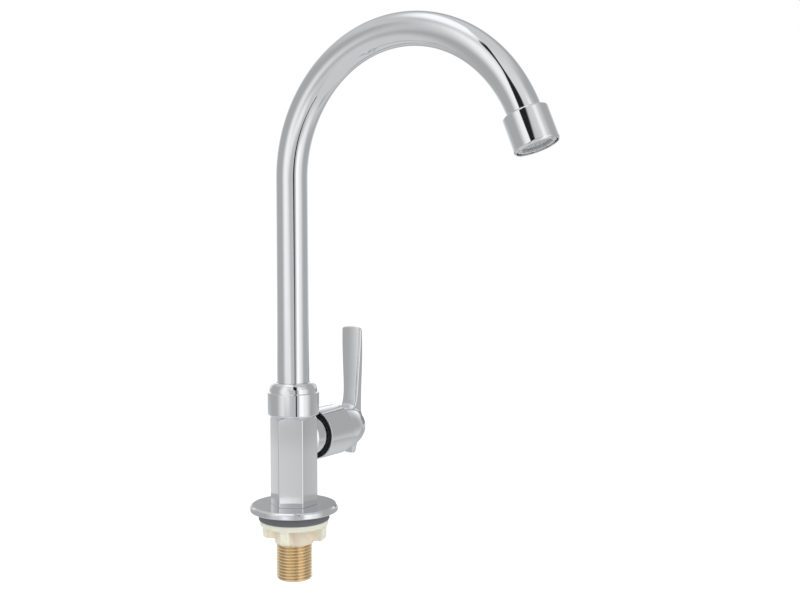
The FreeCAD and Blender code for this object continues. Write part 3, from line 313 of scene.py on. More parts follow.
def polish_marks():
    """Node group: the finish that buffing and plating leave on bright metal.

    Haze is broad noise pulled out to Low..High for roughness, Lines is noise stretched
    along the piece for the buffing wheel's marks, and Height adds a little of the plating's
    orange peel to them.
    """
    group = bpy.data.node_groups.new("polish marks", "ShaderNodeTree")
    group.interface.new_socket("Stretch", in_out="INPUT", socket_type="NodeSocketVector")
    for label, start in (("Low", 0.04), ("High", 0.08), ("Peel", 0.3)):
        socket = group.interface.new_socket(label, in_out="INPUT", socket_type="NodeSocketFloat")
        socket.default_value = start
    for label in ("Haze", "Lines", "Height"):
        group.interface.new_socket(label, in_out="OUTPUT", socket_type="NodeSocketFloat")
    inside = add(group, "NodeGroupInput")
    outside = add(group, "NodeGroupOutput")
    where = add(group, "ShaderNodeTexCoord").outputs["Object"]
    broad = add(group, "ShaderNodeTexNoise", {
        "Vector": where, "Scale": 45.0, "Detail": 5.0, "Roughness": 0.65})
    haze = add(group, "ShaderNodeMapRange", {
        "Value": broad.outputs["Fac"], "From Min": 0.4, "From Max": 0.75,
        "To Min": inside.outputs["Low"], "To Max": inside.outputs["High"]})
    pulled = add(group, "ShaderNodeVectorMath", {
        0: where, 1: inside.outputs["Stretch"]}, operation="MULTIPLY")
    lines = add(group, "ShaderNodeTexNoise", {
        "Vector": pulled.outputs["Vector"], "Scale": 1.0, "Detail": 2.0, "Roughness": 0.5})
    peel = add(group, "ShaderNodeTexNoise", {"Vector": where, "Scale": 260.0, "Detail": 1.0})
    both = add(group, "ShaderNodeMath", {
        0: peel.outputs["Fac"], 1: inside.outputs["Peel"], 2: lines.outputs["Fac"]},
        operation="MULTIPLY_ADD")
    group.links.new(haze.outputs["Result"], outside.inputs["Haze"])
    group.links.new(lines.outputs["Fac"], outside.inputs["Lines"])
    group.links.new(both.outputs["Value"], outside.inputs["Height"])
    return group


polish = polish_marks()


def new_chrome(name, stretch, low=0.035, high=0.075, bump=0.012):
    """Bright chrome plate, buffed along the given directions."""
    made, tree, shader = new_finish(name, Metallic=1.0)
    placed = add(tree, "ShaderNodeGroup", node_tree=polish)
    placed.inputs["Stretch"].default_value = stretch
    placed.inputs["Low"].default_value = low
    placed.inputs["High"].default_value = high
    placed.inputs["Peel"].default_value = 0.6
    tree.links.new(placed.outputs["Haze"], shader.inputs["Roughness"])
    raised = add(tree, "ShaderNodeBump", {
        "Height": placed.outputs["Height"], "Strength": bump, "Distance": 0.0002})
    tree.links.new(raised.outputs["Normal"], shader.inputs["Normal"])
    tint = add(tree, "ShaderNodeMix", {
        "Factor": placed.outputs["Lines"],
        "A": (0.775, 0.785, 0.80, 1), "B": (0.815, 0.825, 0.835, 1)}, data_type="RGBA")
    tree.links.new(tint.outputs["Result"], shader.inputs["Base Color"])
    return made


turned_chrome = new_chrome("turned_chrome", (500.0, 500.0, 2500.0))
turned("chrome_flange", [
    (10.57, 4.0, 0.1), (21.0, 4.0, 0.4), (25.49, 5.3, 0.5), (25.49, 8.1, 0.7), (24.3, 8.9, 0.9),
    (9.06, 8.9, 0.1), (9.06, 5.42, 0.1), (10.57, 5.42, 0.1)],
    "faucet", "base_flange", turned_chrome, columns=192)

# ---- Body --------------------------------------------------------------------------------
# Cast brass bar, hexagonal, with a corner at the handle. Its top is turned to a cone, which
# cuts the flats in shallow arches, and a round boss carries the handle. One plain passage
# stands for the waterway between its sockets, out of sight; the CAD solid has the real one.

flats = 24.0
body_foot = 8.9
body_top = 61.2
axis_height = 47.0
shoulder = 11.95
crown = 0.25
corner_round = 0.9
cone_slope = 1.15
foot_socket = 9.06
foot_socket_top = 22.6
passage = 6.0
neck_radius = 11.9
neck_top = 70.5
spout_socket = 8.6
spout_socket_floor = 57.0
chamber_radius = 8.7
chamber_length = 30.0
chamber_middle = 13.5

cast_chrome = new_chrome("cast_chrome", (900.0, 900.0, 60.0), 0.04, 0.09, 0.006)


def subdivided(path, longest):
    """A closed outline with its long sides divided evenly into runs no longer than given."""
    ahead = np.roll(path, -1, axis=0)
    runs = np.ceil(np.linalg.norm(ahead - path, axis=-1) / longest).astype(int)
    start = np.repeat(np.arange(len(path)), runs)
    step = np.concatenate([np.arange(n) / n for n in runs])[:, None]
    return path[start] + (ahead[start] - path[start]) * step


def hexagonal_skin():
    """The bar's skin: for each direction, a profile of height against distance out.

    The ring is a hexagon with its corners rounded. Polishing leaves its flats a little
    full: a point q along a flat from its middle stands out by the crown times 1 less the
    square of q over the flat's half width. The cone starts where its height, the top less
    the slope times the distance beyond the shoulder, meets the flat, so each column has its
    edge at its own height. The neck and the two sockets go on from there.
    """
    turn = np.arange(6) * math.pi / 3
    corner = flats / math.sqrt(3)
    ring = rounded(np.stack([corner * np.cos(turn), corner * np.sin(turn)], -1),
                   np.full(6, corner_round), 6)
    ring = subdivided(ring, 0.6)
    facing = np.floor(np.arctan2(ring[:, 1], ring[:, 0]) / (math.pi / 3))
    facing = (facing + 0.5) * math.pi / 3
    normal = np.stack([np.cos(facing), np.sin(facing)], -1)
    along = (ring ** 2).sum(-1) - (ring * normal).sum(-1) ** 2
    ring = ring + normal * (crown * np.clip(1 - along / (corner / 2) ** 2, 0, 1))[:, None]
    out = np.linalg.norm(ring, axis=-1)
    edge = body_top - cone_slope * (out - shoulder)
    plain = np.ones_like(out)
    corners = [
        (foot_socket * plain, body_foot * plain, 0.1), (out, body_foot * plain, 0.3),
        (out, edge, 0.35), (shoulder * plain, body_top * plain, 0.2),
        (neck_radius * plain, (body_top + 0.02) * plain, 0.02),
        (neck_radius * plain, neck_top * plain, 0.3),
        (spout_socket * plain, neck_top * plain, 0.2),
        (spout_socket * plain, spout_socket_floor * plain, 0.1),
        (passage * plain, spout_socket_floor * plain, 0.1),
        (passage * plain, foot_socket_top * plain, 0.1),
        (foot_socket * plain, foot_socket_top * plain, 0.1)]
    path = rounded(np.stack([np.stack(c[:2], -1) for c in corners]), [c[2] for c in corners], 4)
    way = (ring / out[:, None])[None]
    return np.concatenate([path[..., :1] * way, path[..., 1:]], -1)


def on_handle(x, y, z):
    """Row coordinates of a point on the handle's axis, whose stations run along +X."""
    return z, x, y + axis_height


bar = shell("hexagonal_body", hexagonal_skin(), "faucet", "faucet_body",
            cast_chrome)
drill = bpy.data.meshes.new("chamber")
work = bmesh.new()
bmesh.ops.create_cone(work, cap_ends=True, segments=96, radius1=chamber_radius * 0.001,
                      radius2=chamber_radius * 0.001, depth=chamber_length * 0.001)
bmesh.ops.rotate(work, verts=work.verts, matrix=Matrix.Rotation(math.pi / 2, 3, "Y"))
bmesh.ops.translate(work, verts=work.verts,
                    vec=(chamber_middle * 0.001, 0, axis_height * 0.001))
work.to_mesh(drill)
work.free()
cutter = bpy.data.objects.new("chamber", drill)
bpy.context.scene.collection.objects.link(cutter)
bored = bar.modifiers.new("chamber", "BOOLEAN")
bored.object = cutter
bored.operation = "DIFFERENCE"
bored.solver = "EXACT"
whole = bar.evaluated_get(bpy.context.evaluated_depsgraph_get())
drilled = bpy.data.meshes.new_from_object(whole)
bar.modifiers.clear()
bar.data = drilled
bpy.data.objects.remove(cutter)
drilled.set_sharp_from_angle(angle=math.radians(40))
turned("side_boss", [
    (8.62, 7.3, 0.1), (11.5, 7.3, 0.2), (12.2, 8.4, 0.3), (12.2, 21.0, 0.3), (8.62, 21.0, 0.3)],
    "faucet", None, cast_chrome, on_handle)

# ---- Valve -------------------------------------------------------------------------------
# A quarter-turn cartridge: two ground ceramic discs in a turned brass housing, worked by a
# brass spindle. None of it shows at rest, so the CAD solids stay, with their own finishes.

turned_brass = speckled("turned_brass", (120.0, 1500.0, 0.2, 0.34, 0.1),
                        (0.66, 0.47, 0.22), (0.86, 0.66, 0.36), Metallic=1.0)
seal_rubber = speckled("seal_rubber", (200.0, 1500.0, 0.4, 0.6, 0.15),
                       (0.012, 0.012, 0.013), (0.035, 0.035, 0.037), Specular_IOR_Level=0.4)
ceramic = speckled("ground_ceramic", (90.0, 3000.0, 0.18, 0.3, 0.05),
                   (0.80, 0.78, 0.72), (0.90, 0.89, 0.85), Specular_IOR_Level=0.6)
bare_steel = speckled("bare_steel", (150.0, 2500.0, 0.22, 0.38, 0.15),
                      (0.68, 0.69, 0.70), (0.80, 0.80, 0.81), Metallic=1.0)


def refinished(nodes, finish):
    """Give CAD solids that stay in view their finish."""
    for name in nodes:
        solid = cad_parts[name]
        solid.data.materials.clear()
        solid.data.materials.append(finish)


refinished(["cartridge_housing", "spindle"], turned_brass)
refinished(["inlet_seal", "housing_o_ring", "spindle_o_rings", "shank_seal"], seal_rubber)
refinished(["fixed_disc", "moving_disc"], ceramic)
refinished(["spindle_clip", "handle_screw"], bare_steel)

# ---- Dust ring ---------------------------------------------------------------------------
# Black nylon, moulded, pressed on the end of the boss. It fills the mouth of the hub and is
# the black ring that shows between the body and the handle.

nylon = speckled("black_nylon", (160.0, 1600.0, 0.35, 0.5, 0.1),
                 (0.006, 0.006, 0.007), (0.016, 0.016, 0.018), Specular_IOR_Level=0.4)
turned("black_ring", [
    (12.26, 18.4, 0.2), (14.1, 18.4, 0.4), (14.1, 20.98, 0.2), (12.26, 20.98, 0.2)],
    "faucet", "dust_ring", nylon, on_handle)

# ---- Handle hub --------------------------------------------------------------------------
# A chromed cup that turns over the boss. A post inside it fits the spindle's square end.

hub_chrome = new_chrome("hub_chrome", (2200.0, 420.0, 420.0), 0.035, 0.08, 0.015)
turned("chrome_hub", [
    (14.2, 17.7, 0.12), (14.94, 17.7, 0.2), (14.94, 40.0, 0.45), (4.35, 40.0, 0.1),
    (4.35, 28.5, 0.2), (6.5, 28.5, 0.3), (6.5, 35.5, 0.3), (14.2, 35.5, 0.3)],
    "handle", "handle_hub", hub_chrome, on_handle, columns=160)

# ---- Lever -------------------------------------------------------------------------------
# Cast zinc, buffed and plated: a round root that narrows away from the hub, a flat blade
# that rises from it and flares to a softly rounded tip, and a short tail below.

lever_chrome = new_chrome("lever_chrome", (260.0, 260.0, 900.0), 0.05, 0.11, 0.03)
hub_end = 40.0
lever_end = 60.5
root_radius = 14.2
waist_half_width = 5.4
blade_top = 61.35
tail_length = 17.2
recess_radius = 5.62
recess_depth = 1.42
head_bore = 3.95
screw_bore = 2.02


def soft_min(a, b, blend):
    """The lower of two fields, blended where they are nearly equal: the lower, less a
    quarter of blend times the square of how close they are, from 0 at blend apart to 1."""
    near = np.maximum(blend - np.abs(a - b), 0) / blend
    return np.minimum(a, b) - near * near * blend / 4


def soft_max(a, b, blend):
    """The higher of two fields, blended as soft_min blends the lower."""
    return -soft_min(-a, -b, blend)


def lever_field(p):
    """Roughly the distance out of the lever's surface, in millimetres, negative inside.

    The root is a round whose radius falls from the hub's end by 1.6 u and 4.4 u cubed,
    where u runs from 0 there to 1 at the face. The blade is a slab: its sides part by a
    smooth step above the waist, its inner face leaves the root on an exponential curve and
    is crowned by a square across it, and its outer face leans in by a square. The tail is
    a tapered slab. Flat sides meet by soft_max, which rounds their edges, and the three
    are joined by soft_min, which gives the casting its fillets. The face, the button's
    recess and the screw's bores come last.
    """
    x, y, z = p[:, 0], p[:, 1], p[:, 2] - axis_height
    u = np.clip((x - hub_end) / (lever_end - hub_end), 0, 1)
    out = np.hypot(y, z)
    root = soft_max(out - (root_radius - 1.6 * u - 4.4 * u ** 3), x - lever_end + 0.1, 2.6)
    rise = np.clip((z - 15.0) / 42.0, 0, 1)
    half = waist_half_width + 1.75 * rise * rise * (3 - 2 * rise)
    outer = x - (lever_end - 0.06 - 1.6 * (np.clip(z - 20.0, 0, None) / 41.4) ** 2)
    heel = 4.35 * np.exp(-(np.maximum(z, 2.0) - 10.4) / 3.6)
    inner = lever_end - 5.25 + 0.02 * (z - 20.0) - np.minimum(heel, 12.0) + 0.0085 * y * y - x
    slab = soft_max(soft_max(outer, inner, 1.3), np.abs(y) - half, 1.5)
    blade = soft_max(slab, z - (blade_top - 0.012 * y * y), 1.6)
    blade = soft_max(blade, -2.0 - z, 1.0)
    down = np.clip(-z / tail_length, 0, 1)
    front = x - (lever_end - 0.06 - 3.5 * down)
    back = (lever_end - 7.0 - 6.0 * (1 - down) ** 2) - x
    tail = soft_max(soft_max(front, back, 1.2), np.abs(y) - (5.2 - 2.1 * down), 1.2)
    tail = soft_max(soft_max(tail, 0.05 - tail_length - z, 1.0), z - 1.0, 1.0)
    solid = soft_min(soft_min(root, blade, 1.8), tail, 1.6)
    solid = soft_max(solid, x - lever_end + 0.03, 0.6)
    solid = soft_max(solid, hub_end + 0.02 - x, 0.3)
    recess = np.maximum(out - recess_radius, lever_end - recess_depth - x)
    head = np.maximum(out - head_bore, hub_end + 4.5 - x)
    return soft_max(solid, -np.minimum(np.minimum(recess, head), out - screw_bore), 0.15)


def cast_skin(name, field, start, voxel):
    """A casting's skin: a surface on which a field is nought.

    Rough blocks are joined and meshed in even cells, and then every point moves along the
    field's slope by the field over the slope squared, eight times, until it lies on the
    surface. The slope is the field's change over a small step each way. Returns the mesh
    and the slope at each point, with a length of 1.
    """
    rough = bpy.data.objects.new(name, start)
    bpy.context.scene.collection.objects.link(rough)
    cells = rough.modifiers.new("cells", "REMESH")
    cells.mode = "VOXEL"
    cells.voxel_size = voxel * 0.001
    bpy.context.view_layer.update()
    joined = rough.evaluated_get(bpy.context.evaluated_depsgraph_get())
    mesh = bpy.data.meshes.new_from_object(joined)
    bpy.data.objects.remove(rough)
    p = np.empty(len(mesh.vertices) * 3)
    mesh.vertices.foreach_get("co", p)
    p = p.reshape(-1, 3) * 1000
    apart = 0.02
    small = np.eye(3) * apart
    for _ in range(8):
        slope = np.stack([field(p + d) - field(p - d) for d in small], -1) / (2 * apart)
        steep = np.maximum((slope ** 2).sum(-1, keepdims=True), 0.05)
        step = field(p)[:, None] * slope / steep
        p = p - np.clip(step, -0.6, 0.6)
    mesh.vertices.foreach_set("co", (p * 0.001).ravel())
    mesh.update()
    slope = np.stack([field(p + d) - field(p - d) for d in small], -1)
    slope /= np.maximum(np.linalg.norm(slope, axis=-1, keepdims=True), 1e-9)
    return mesh, slope


def level_blocks(name, field, low, high, cell):
    """A rough start cut from the field itself: every cell of a box whose middle is inside.

    Only faces between a full and an empty cell are kept, so the blocks have a skin and
    nothing within.
    """
    low, high = np.array(low, float), np.array(high, float)
    count = np.ceil((high - low) / cell).astype(int)
    index = np.stack(np.meshgrid(*[np.arange(n) for n in count], indexing="ij"), -1)
    middle = low + (index + 0.5) * cell
    full = np.zeros(tuple(count + 2), bool)
    full[1:-1, 1:-1, 1:-1] = (field(middle.reshape(-1, 3)) < 0).reshape(tuple(count))
    corners = []
    for axis in range(3):
        for side in (0, 1):
            shifted = np.roll(full, 1 if side == 0 else -1, axis=axis)
            where = np.argwhere(full & ~shifted) - 1
            if not len(where):
                continue
            b, c = (axis + 1) % 3, (axis + 2) % 3
            quad = np.zeros((len(where), 4, 3))
            quad[:] = where[:, None, :]
            quad[:, :, axis] += side
            quad[:, [1, 2], b] += 1
            quad[:, [2, 3], c] += 1
            if side == 0:
                quad = quad[:, ::-1]
            corners.append(quad)
    quad = np.concatenate(corners)
    points, faces = np.unique(quad.reshape(-1, 3), axis=0, return_inverse=True)
    made = bpy.data.meshes.new(name)
    made.from_pydata((low + points * cell) * 0.001, [], faces.reshape(-1, 4).tolist())
    return made


def set_normals(mesh, slope):
    """Light a skin by its field's own slope instead of its faces."""
    mesh.normals_split_custom_set_from_vertices(slope)


start = level_blocks("lever_start", lever_field, (39.5, -15, 30), (61.5, 15, 108.5), 0.5)
skin, slope = cast_skin("lever_start", lever_field, start, 0.26)
fitted("cast_lever", skin, "handle", "lever", lever_chrome)
set_normals(skin, slope)

turned("plain_button", [
    (0, 55.2, 0), (3.75, 55.2, 0.2), (3.75, 59.12, 0.1), (5.52, 59.12, 0.1),
    (5.52, 60.42, 0.5), (0, 60.47, 0)],
    "handle", "handle_button", hub_chrome, on_handle, columns=96)

# ---- Swivel joint ------------------------------------------------------------------------
# A turned brass sleeve in the spout's foot, two O-rings and two nylon glide rings, all of
# them inside the collar nut: the CAD solids stay.

white_nylon = speckled("white_nylon", (120.0, 1400.0, 0.4, 0.55, 0.1),
                       (0.74, 0.74, 0.71), (0.84, 0.84, 0.81), Specular_IOR_Level=0.4)
refinished(["swivel_sleeve"], turned_brass)
refinished(["sleeve_o_rings", "aerator_washer"], seal_rubber)
refinished(["lower_glide_ring", "upper_glide_ring"], white_nylon)

# ---- Collar nut --------------------------------------------------------------------------
# Turned brass, chromed: a stepped collar with a rounded foot and shoulder, which holds the
# spout down and lets it turn.

turned("chrome_collar", [
    (12.06, 61.3, 0.1), (14.9, 61.3, 2.2), (14.9, 74.8, 0.7), (13.8, 74.95, 0.2),
    (13.7, 77.3, 1.8), (12.7, 79.5, 2.0), (11.3, 80.5, 1.5), (9.6, 80.65, 0.3),
    (9.6, 75.0, 0.1), (11.5, 75.0, 0.1), (11.5, 70.56, 0.1), (12.06, 70.56, 0.1)],
    "faucet", "collar_nut", turned_chrome, columns=192, steps=8)

# ---- Spout -------------------------------------------------------------------------------
# Brass tube, drawn, bent on a mandrel in one round bend and plated.

tube_radius = 9.25
tube_bore = 8.35
riser_foot = 73.9
riser_top = 197.8
bend = 78.05
bend_angle = math.radians(156.8)

tube_chrome = new_chrome("tube_chrome", (700.0, 160.0, 160.0), 0.035, 0.07, 0.008)


def bent_tube_skin():
    """The tube's skin: a circle carried up the riser, round the bend and on a little way,
    outside, and back again, inside.

    At a distance s along the middle line, the line's direction turns by (s - start) / bend
    once past the bend's start, so a point is the riser, then the centre (-bend, riser_top)
    plus bend times (cos a, sin a), then a straight end. The circle lies across the line,
    with one axis along X and the other along the line's outward side.
    """
    riser = np.concatenate([
        [riser_foot, riser_foot + 0.3], np.linspace(riser_foot + 6, riser_top - 0.5, 14)])
    a = np.linspace(0, bend_angle, 140)
    end = np.array([5.6, 5.95])
    c, s = math.cos(bend_angle), math.sin(bend_angle)
    y = np.concatenate([0 * riser, bend * (np.cos(a) - 1), bend * (c - 1) - end * s])
    z = np.concatenate([riser, riser_top + bend * np.sin(a), riser_top + bend * s + end * c])
    turn = np.concatenate([0 * riser, a, 0 * end + bend_angle])
    out = np.full(len(y), tube_radius)
    y, z, turn = (np.concatenate([v, v[::-1]]) for v in (y, z, turn))
    out = np.concatenate([out, np.full(len(out), tube_bore)])
    t = np.linspace(0, 2 * math.pi, 128, endpoint=False)[None, :]
    y, z, turn, out = (v[:, None] for v in (y, z, turn, out))
    side = out * np.cos(t)
    return np.stack([out * np.sin(t), y + side * np.cos(turn), z + side * np.sin(turn)], -1)


shell("bent_spout", bent_tube_skin(), "spout", "spout_tube", tube_chrome)

# ---- Outlet collar and aerator -----------------------------------------------------------
# A chromed collar brazed on the tube. In it sits the aerator: a grey plastic body with
# notches for its key, a cup that splits the water into jets, and a woven steel screen.


def on_outlet(x, y, z):
    """Row coordinates of a point on the outlet's axis, whose stations run down the flow."""
    c, s = math.cos(bend_angle), math.sin(bend_angle)
    return x, bend * (c - 1) + y * c - z * s, riser_top + bend * s + y * s + z * c


turned("chrome_outlet", [
    (9.36, 0, 0.15), (12.25, 0, 1.0), (12.25, 18.1, 1.0), (11.5, 18.97, 0.5),
    (10.95, 18.97, 0.2), (10.95, 6.02, 0.1), (9.36, 6.02, 0.1)],
    "spout", "outlet_collar", turned_chrome, on_outlet, columns=192)

grey_plastic = speckled("grey_plastic", (120.0, 1500.0, 0.3, 0.45, 0.1),
                        (0.46, 0.47, 0.48), (0.58, 0.585, 0.59), Specular_IOR_Level=0.45)


def notched_skin():
    """The aerator body's skin: a turned profile whose outer lip steps in at eight notches.

    The lip's radius is 10.28, and 9.6 where the angle is within 6 degrees of a notch's
    middle, with the change spread over 1 degree.
    """
    t = np.linspace(0, 2 * math.pi, 288, endpoint=False)
    off = np.abs((np.degrees(t) + 22.5) % 45 - 22.5)
    lip = 10.28 - 0.68 * np.clip(6.5 - off, 0, 1)
    plain = np.ones_like(t)
    corners = [
        (8.98, 7.65, 0.1), (10.86, 7.65, 0.1), (10.86, 16.0, 0.15), (10.32, 16.0, 0.05),
        (10.32, 17.1, 0.05), (lip, 17.1, 0.05), (lip, 18.4, 0.15), (8.15, 18.4, 0.25),
        (8.15, 16.8, 0.15), (8.98, 16.8, 0.05)]
    path = rounded(np.stack([np.stack([c[0] * plain, c[1] * plain], -1) for c in corners]),
                   [c[2] for c in corners], 4)
    x, y, z = on_outlet(path[..., 0] * np.cos(t), path[..., 0] * np.sin(t), path[..., 1])
    return np.stack([x, y, z], -1)


shell("notched_aerator", notched_skin(), "spout", "aerator_housing", grey_plastic)
refinished(["flow_former"], grey_plastic)


def woven_wires(radius, spacing, wire, lift):
    """A round of woven wire: wires both ways, each going over and under by a cosine.

    Wire k lies at k * spacing across, is as long as the circle's chord there, and rises by
    lift * cos(pi * (along / spacing + k)), the other way's wires by its negative. Each has
    six sides round it and closed ends.
    """
    rows = int(radius / spacing)
    k = np.arange(-rows, rows + 1)
    chord = np.sqrt(radius ** 2 - (k * spacing) ** 2)
    n = 4 * (2 * rows) + 1
    t = np.linspace(-1, 1, n)
    along = chord[:, None] * t
    across = (k * spacing)[:, None] + 0 * along
    rise = lift * np.cos(math.pi * (along / spacing + k[:, None]))
    ring = np.arange(6) * math.pi / 3
    fat = np.where(np.abs(t) == 1, 0.0, 1.0)[None, :, None] * wire
    points = []
    for way in (0, 1):
        x = along[..., None] + 0 * ring
        y = across[..., None] + fat * np.cos(ring)
        z = (rise if way == 0 else -rise)[..., None] + fat * np.sin(ring)
        points.append(np.stack([x, y, z] if way == 0 else [y, x, z], -1))
    return np.concatenate(points)


screen_station = 16.52


def screen_mesh():
    """The woven screen as one mesh, each wire a closed tube."""
    wires = woven_wires(8.75, spacing=0.5, wire=0.15, lift=0.15)
    count, n, sides = wires.shape[:3]
    x, y, z = on_outlet(wires[..., 0], wires[..., 1], wires[..., 2] + screen_station)
    points = np.stack([x, y, z], -1).reshape(-1, 3) * 0.001
    w = np.arange(count)[:, None, None] * n * sides
    i = np.arange(n - 1)[None, :, None] * sides
    j = np.arange(sides)[None, None, :]
    a, b = w + i + j, w + i + (j + 1) % sides
    faces = np.stack(np.broadcast_arrays(a, b, b + sides, a + sides), -1).reshape(-1, 4)
    mesh = bpy.data.meshes.new("woven_screen")
    mesh.from_pydata(points, [], faces.tolist())
    work = bmesh.new()
    work.from_mesh(mesh)
    bmesh.ops.remove_doubles(work, verts=work.verts, dist=1e-6)
    bmesh.ops.recalc_face_normals(work, faces=work.faces)
    work.to_mesh(mesh)
    work.free()
    return mesh


fitted("woven_screen", screen_mesh(), "spout", "aerator_screen", bare_steel)

# ---- Lock nut ----------------------------------------------------------------------------
# Ivory plastic, moulded in one: a flange that bears on the deck from below, a hub with the
# thread, and four wings for the fingers. The brass shows warm through its thin hub.

nut_turn = math.radians(21)
web_half = 2.3
pad_half = 2.7
pad_end = 19.0
nut_bore = 10.62


def nut_field(p):
    """Roughly the distance out of the nut's surface, in millimetres, negative inside.

    The flange and the hub are rounds with sloping walls. A wing is a web that ends in a
    slightly thicker pad, taken at the nearest quarter turn. They are joined by soft_min,
    and the bore is taken out by soft_max.
    """
    x, y, z = p[:, 0], p[:, 1], p[:, 2]
    out = np.hypot(x, y)
    flange = soft_max(out - (20.38 + 0.3 * z), np.abs(z + 1.82) - 1.8, 0.8)
    hub = soft_max(out - (11.9 + 0.055 * z), np.abs(z + 7.15) - 7.13, 1.0)
    turn = (np.arctan2(y, x) - nut_turn + math.pi / 4) % (math.pi / 2) - math.pi / 4
    along, across = out * np.cos(turn), out * np.sin(turn)
    web = soft_max(np.abs(across) - web_half, np.abs(along - 14.5) - 4.0, 0.4)
    ends = np.maximum(along - (pad_end + 0.07 * (z + 3)), 15.7 - along)
    pad = soft_max(np.abs(across) - pad_half, ends, 1.0)
    wing = soft_max(soft_min(web, pad, 0.8), np.maximum(-12.18 - z, z + 2.0), 1.0)
    wing = soft_max(wing, (along - pad_end - z - 10.4) * 0.7, 1.0)
    return soft_max(soft_min(soft_min(flange, hub, 1.0), wing, 1.0), nut_bore - out, 0.6)


ivory = speckled("ivory_plastic", (90.0, 1100.0, 0.32, 0.5, 0.12),
                 (0.78, 0.77, 0.64), (0.88, 0.875, 0.77), Specular_IOR_Level=0.45,
                 Subsurface_Weight=0.35, Subsurface_Scale=0.004,
                 Subsurface_Radius=(1.0, 0.8, 0.45))
tree = ivory.node_tree
shader = tree.nodes["Principled BSDF"]
cream = shader.inputs["Base Color"].links[0].from_socket
thin = add(tree, "ShaderNodeMapRange", {
    "Value": from_axis(tree), "From Min": 0.0118, "From Max": 0.0155,
    "To Min": 1.0, "To Max": 0.0})
through = add(tree, "ShaderNodeMix", {
    "Factor": thin.outputs["Result"], "A": cream, "B": (0.93, 0.80, 0.62, 1)},
    data_type="RGBA")
tree.links.new(through.outputs["Result"], shader.inputs["Base Color"])
start = level_blocks("nut_start", nut_field, (-21, -21, -15), (21, 21, 0.5), 0.4)
skin, slope = cast_skin("nut_start", nut_field, start, 0.3)
fitted("moulded_nut", skin, "nut", "lock_nut", ivory)
set_normals(skin, slope)

# ---- Floor, backdrop, lights and camera --------------------------------------------------
# A pale floor that takes the faucet's shadow, a white backdrop and three large soft lights.
# The bright metal sees a studio round the faucet instead, with lamps, walls and a dark stand.

ground = -0.0353
floor_reach = 6
floor_mesh = bpy.data.meshes.new("floor")
floor_mesh.from_pydata(
    [(floor_reach * i, floor_reach * j, ground) for i, j in ((-1, -1), (1, -1), (1, 1), (-1, 1))],
    [], [(0, 1, 2, 3)])
floor = bpy.data.objects.new("floor", floor_mesh)
bpy.context.scene.collection.objects.link(floor)
pale, tree, shader = new_finish("pale_floor", Base_Color=(0.86, 0.86, 0.86, 1), Roughness=0.6)
seen = add(tree, "ShaderNodeLightPath")
white = add(tree, "ShaderNodeEmission", {"Color": (1, 1, 1, 1), "Strength": 1.15})
share = add(tree, "ShaderNodeMath", {0: seen.outputs["Is Camera Ray"], 1: 0.8},
            operation="MULTIPLY")
mixed = add(tree, "ShaderNodeMixShader", {
    0: share.outputs["Value"], 1: shader.outputs["BSDF"], 2: white.outputs["Emission"]})
tree.links.new(mixed.outputs["Shader"], tree.nodes["Material Output"].inputs["Surface"])
floor_mesh.materials.append(pale)
floor.visible_glossy = False

world = bpy.data.worlds.new("backdrop")
bpy.context.scene.world = world
world.use_nodes = True
tree = world.node_tree
tree.nodes.clear()
seen = add(tree, "ShaderNodeLightPath")
either = add(tree, "ShaderNodeMath", {
    0: seen.outputs["Is Camera Ray"], 1: seen.outputs["Is Glossy Ray"]}, operation="MAXIMUM")
either = add(tree, "ShaderNodeMath", {
    0: either.outputs["Value"], 1: seen.outputs["Is Transmission Ray"]}, operation="MAXIMUM")
ambient = add(tree, "ShaderNodeBackground", {"Color": (1, 1, 1, 1), "Strength": 0.55})
white = add(tree, "ShaderNodeBackground", {"Color": (1, 1, 1, 1), "Strength": 1.0})
mixed = add(tree, "ShaderNodeMixShader", {
    0: either.outputs["Value"], 1: ambient.outputs["Background"], 2: white.outputs["Background"]})
add(tree, "ShaderNodeOutputWorld", {"Surface": mixed.outputs["Shader"]})

eye_place = (-0.5385, -0.4365, 0.1793)
view_turn = math.degrees(math.atan2(eye_place[1], eye_place[0]))


def soft_light(name, turn, height, distance, size, power):
    """A square lamp at a turn from the camera's side, aimed at the middle of the faucet."""
    lamp = bpy.data.lights.new(name, "AREA")
    lamp.size = size
    lamp.energy = power
    made = bpy.data.objects.new(name, lamp)
    bpy.context.scene.collection.objects.link(made)
    a = math.radians(view_turn + turn)
    made.location = (distance * math.cos(a), distance * math.sin(a), height)
    aim = np.array([0, -0.04, 0.12]) - np.array(made.location)
    made.rotation_euler = Vector(tuple(aim)).to_track_quat("-Z", "Y").to_euler()
    made.visible_glossy = False


soft_light("left_light", -50, 1.1, 1.6, 1.0, 11)
soft_light("right_light", 50, 1.0, 1.6, 1.0, 11)
soft_light("top_light", 170, 1.6, 0.6, 1.2, 8)


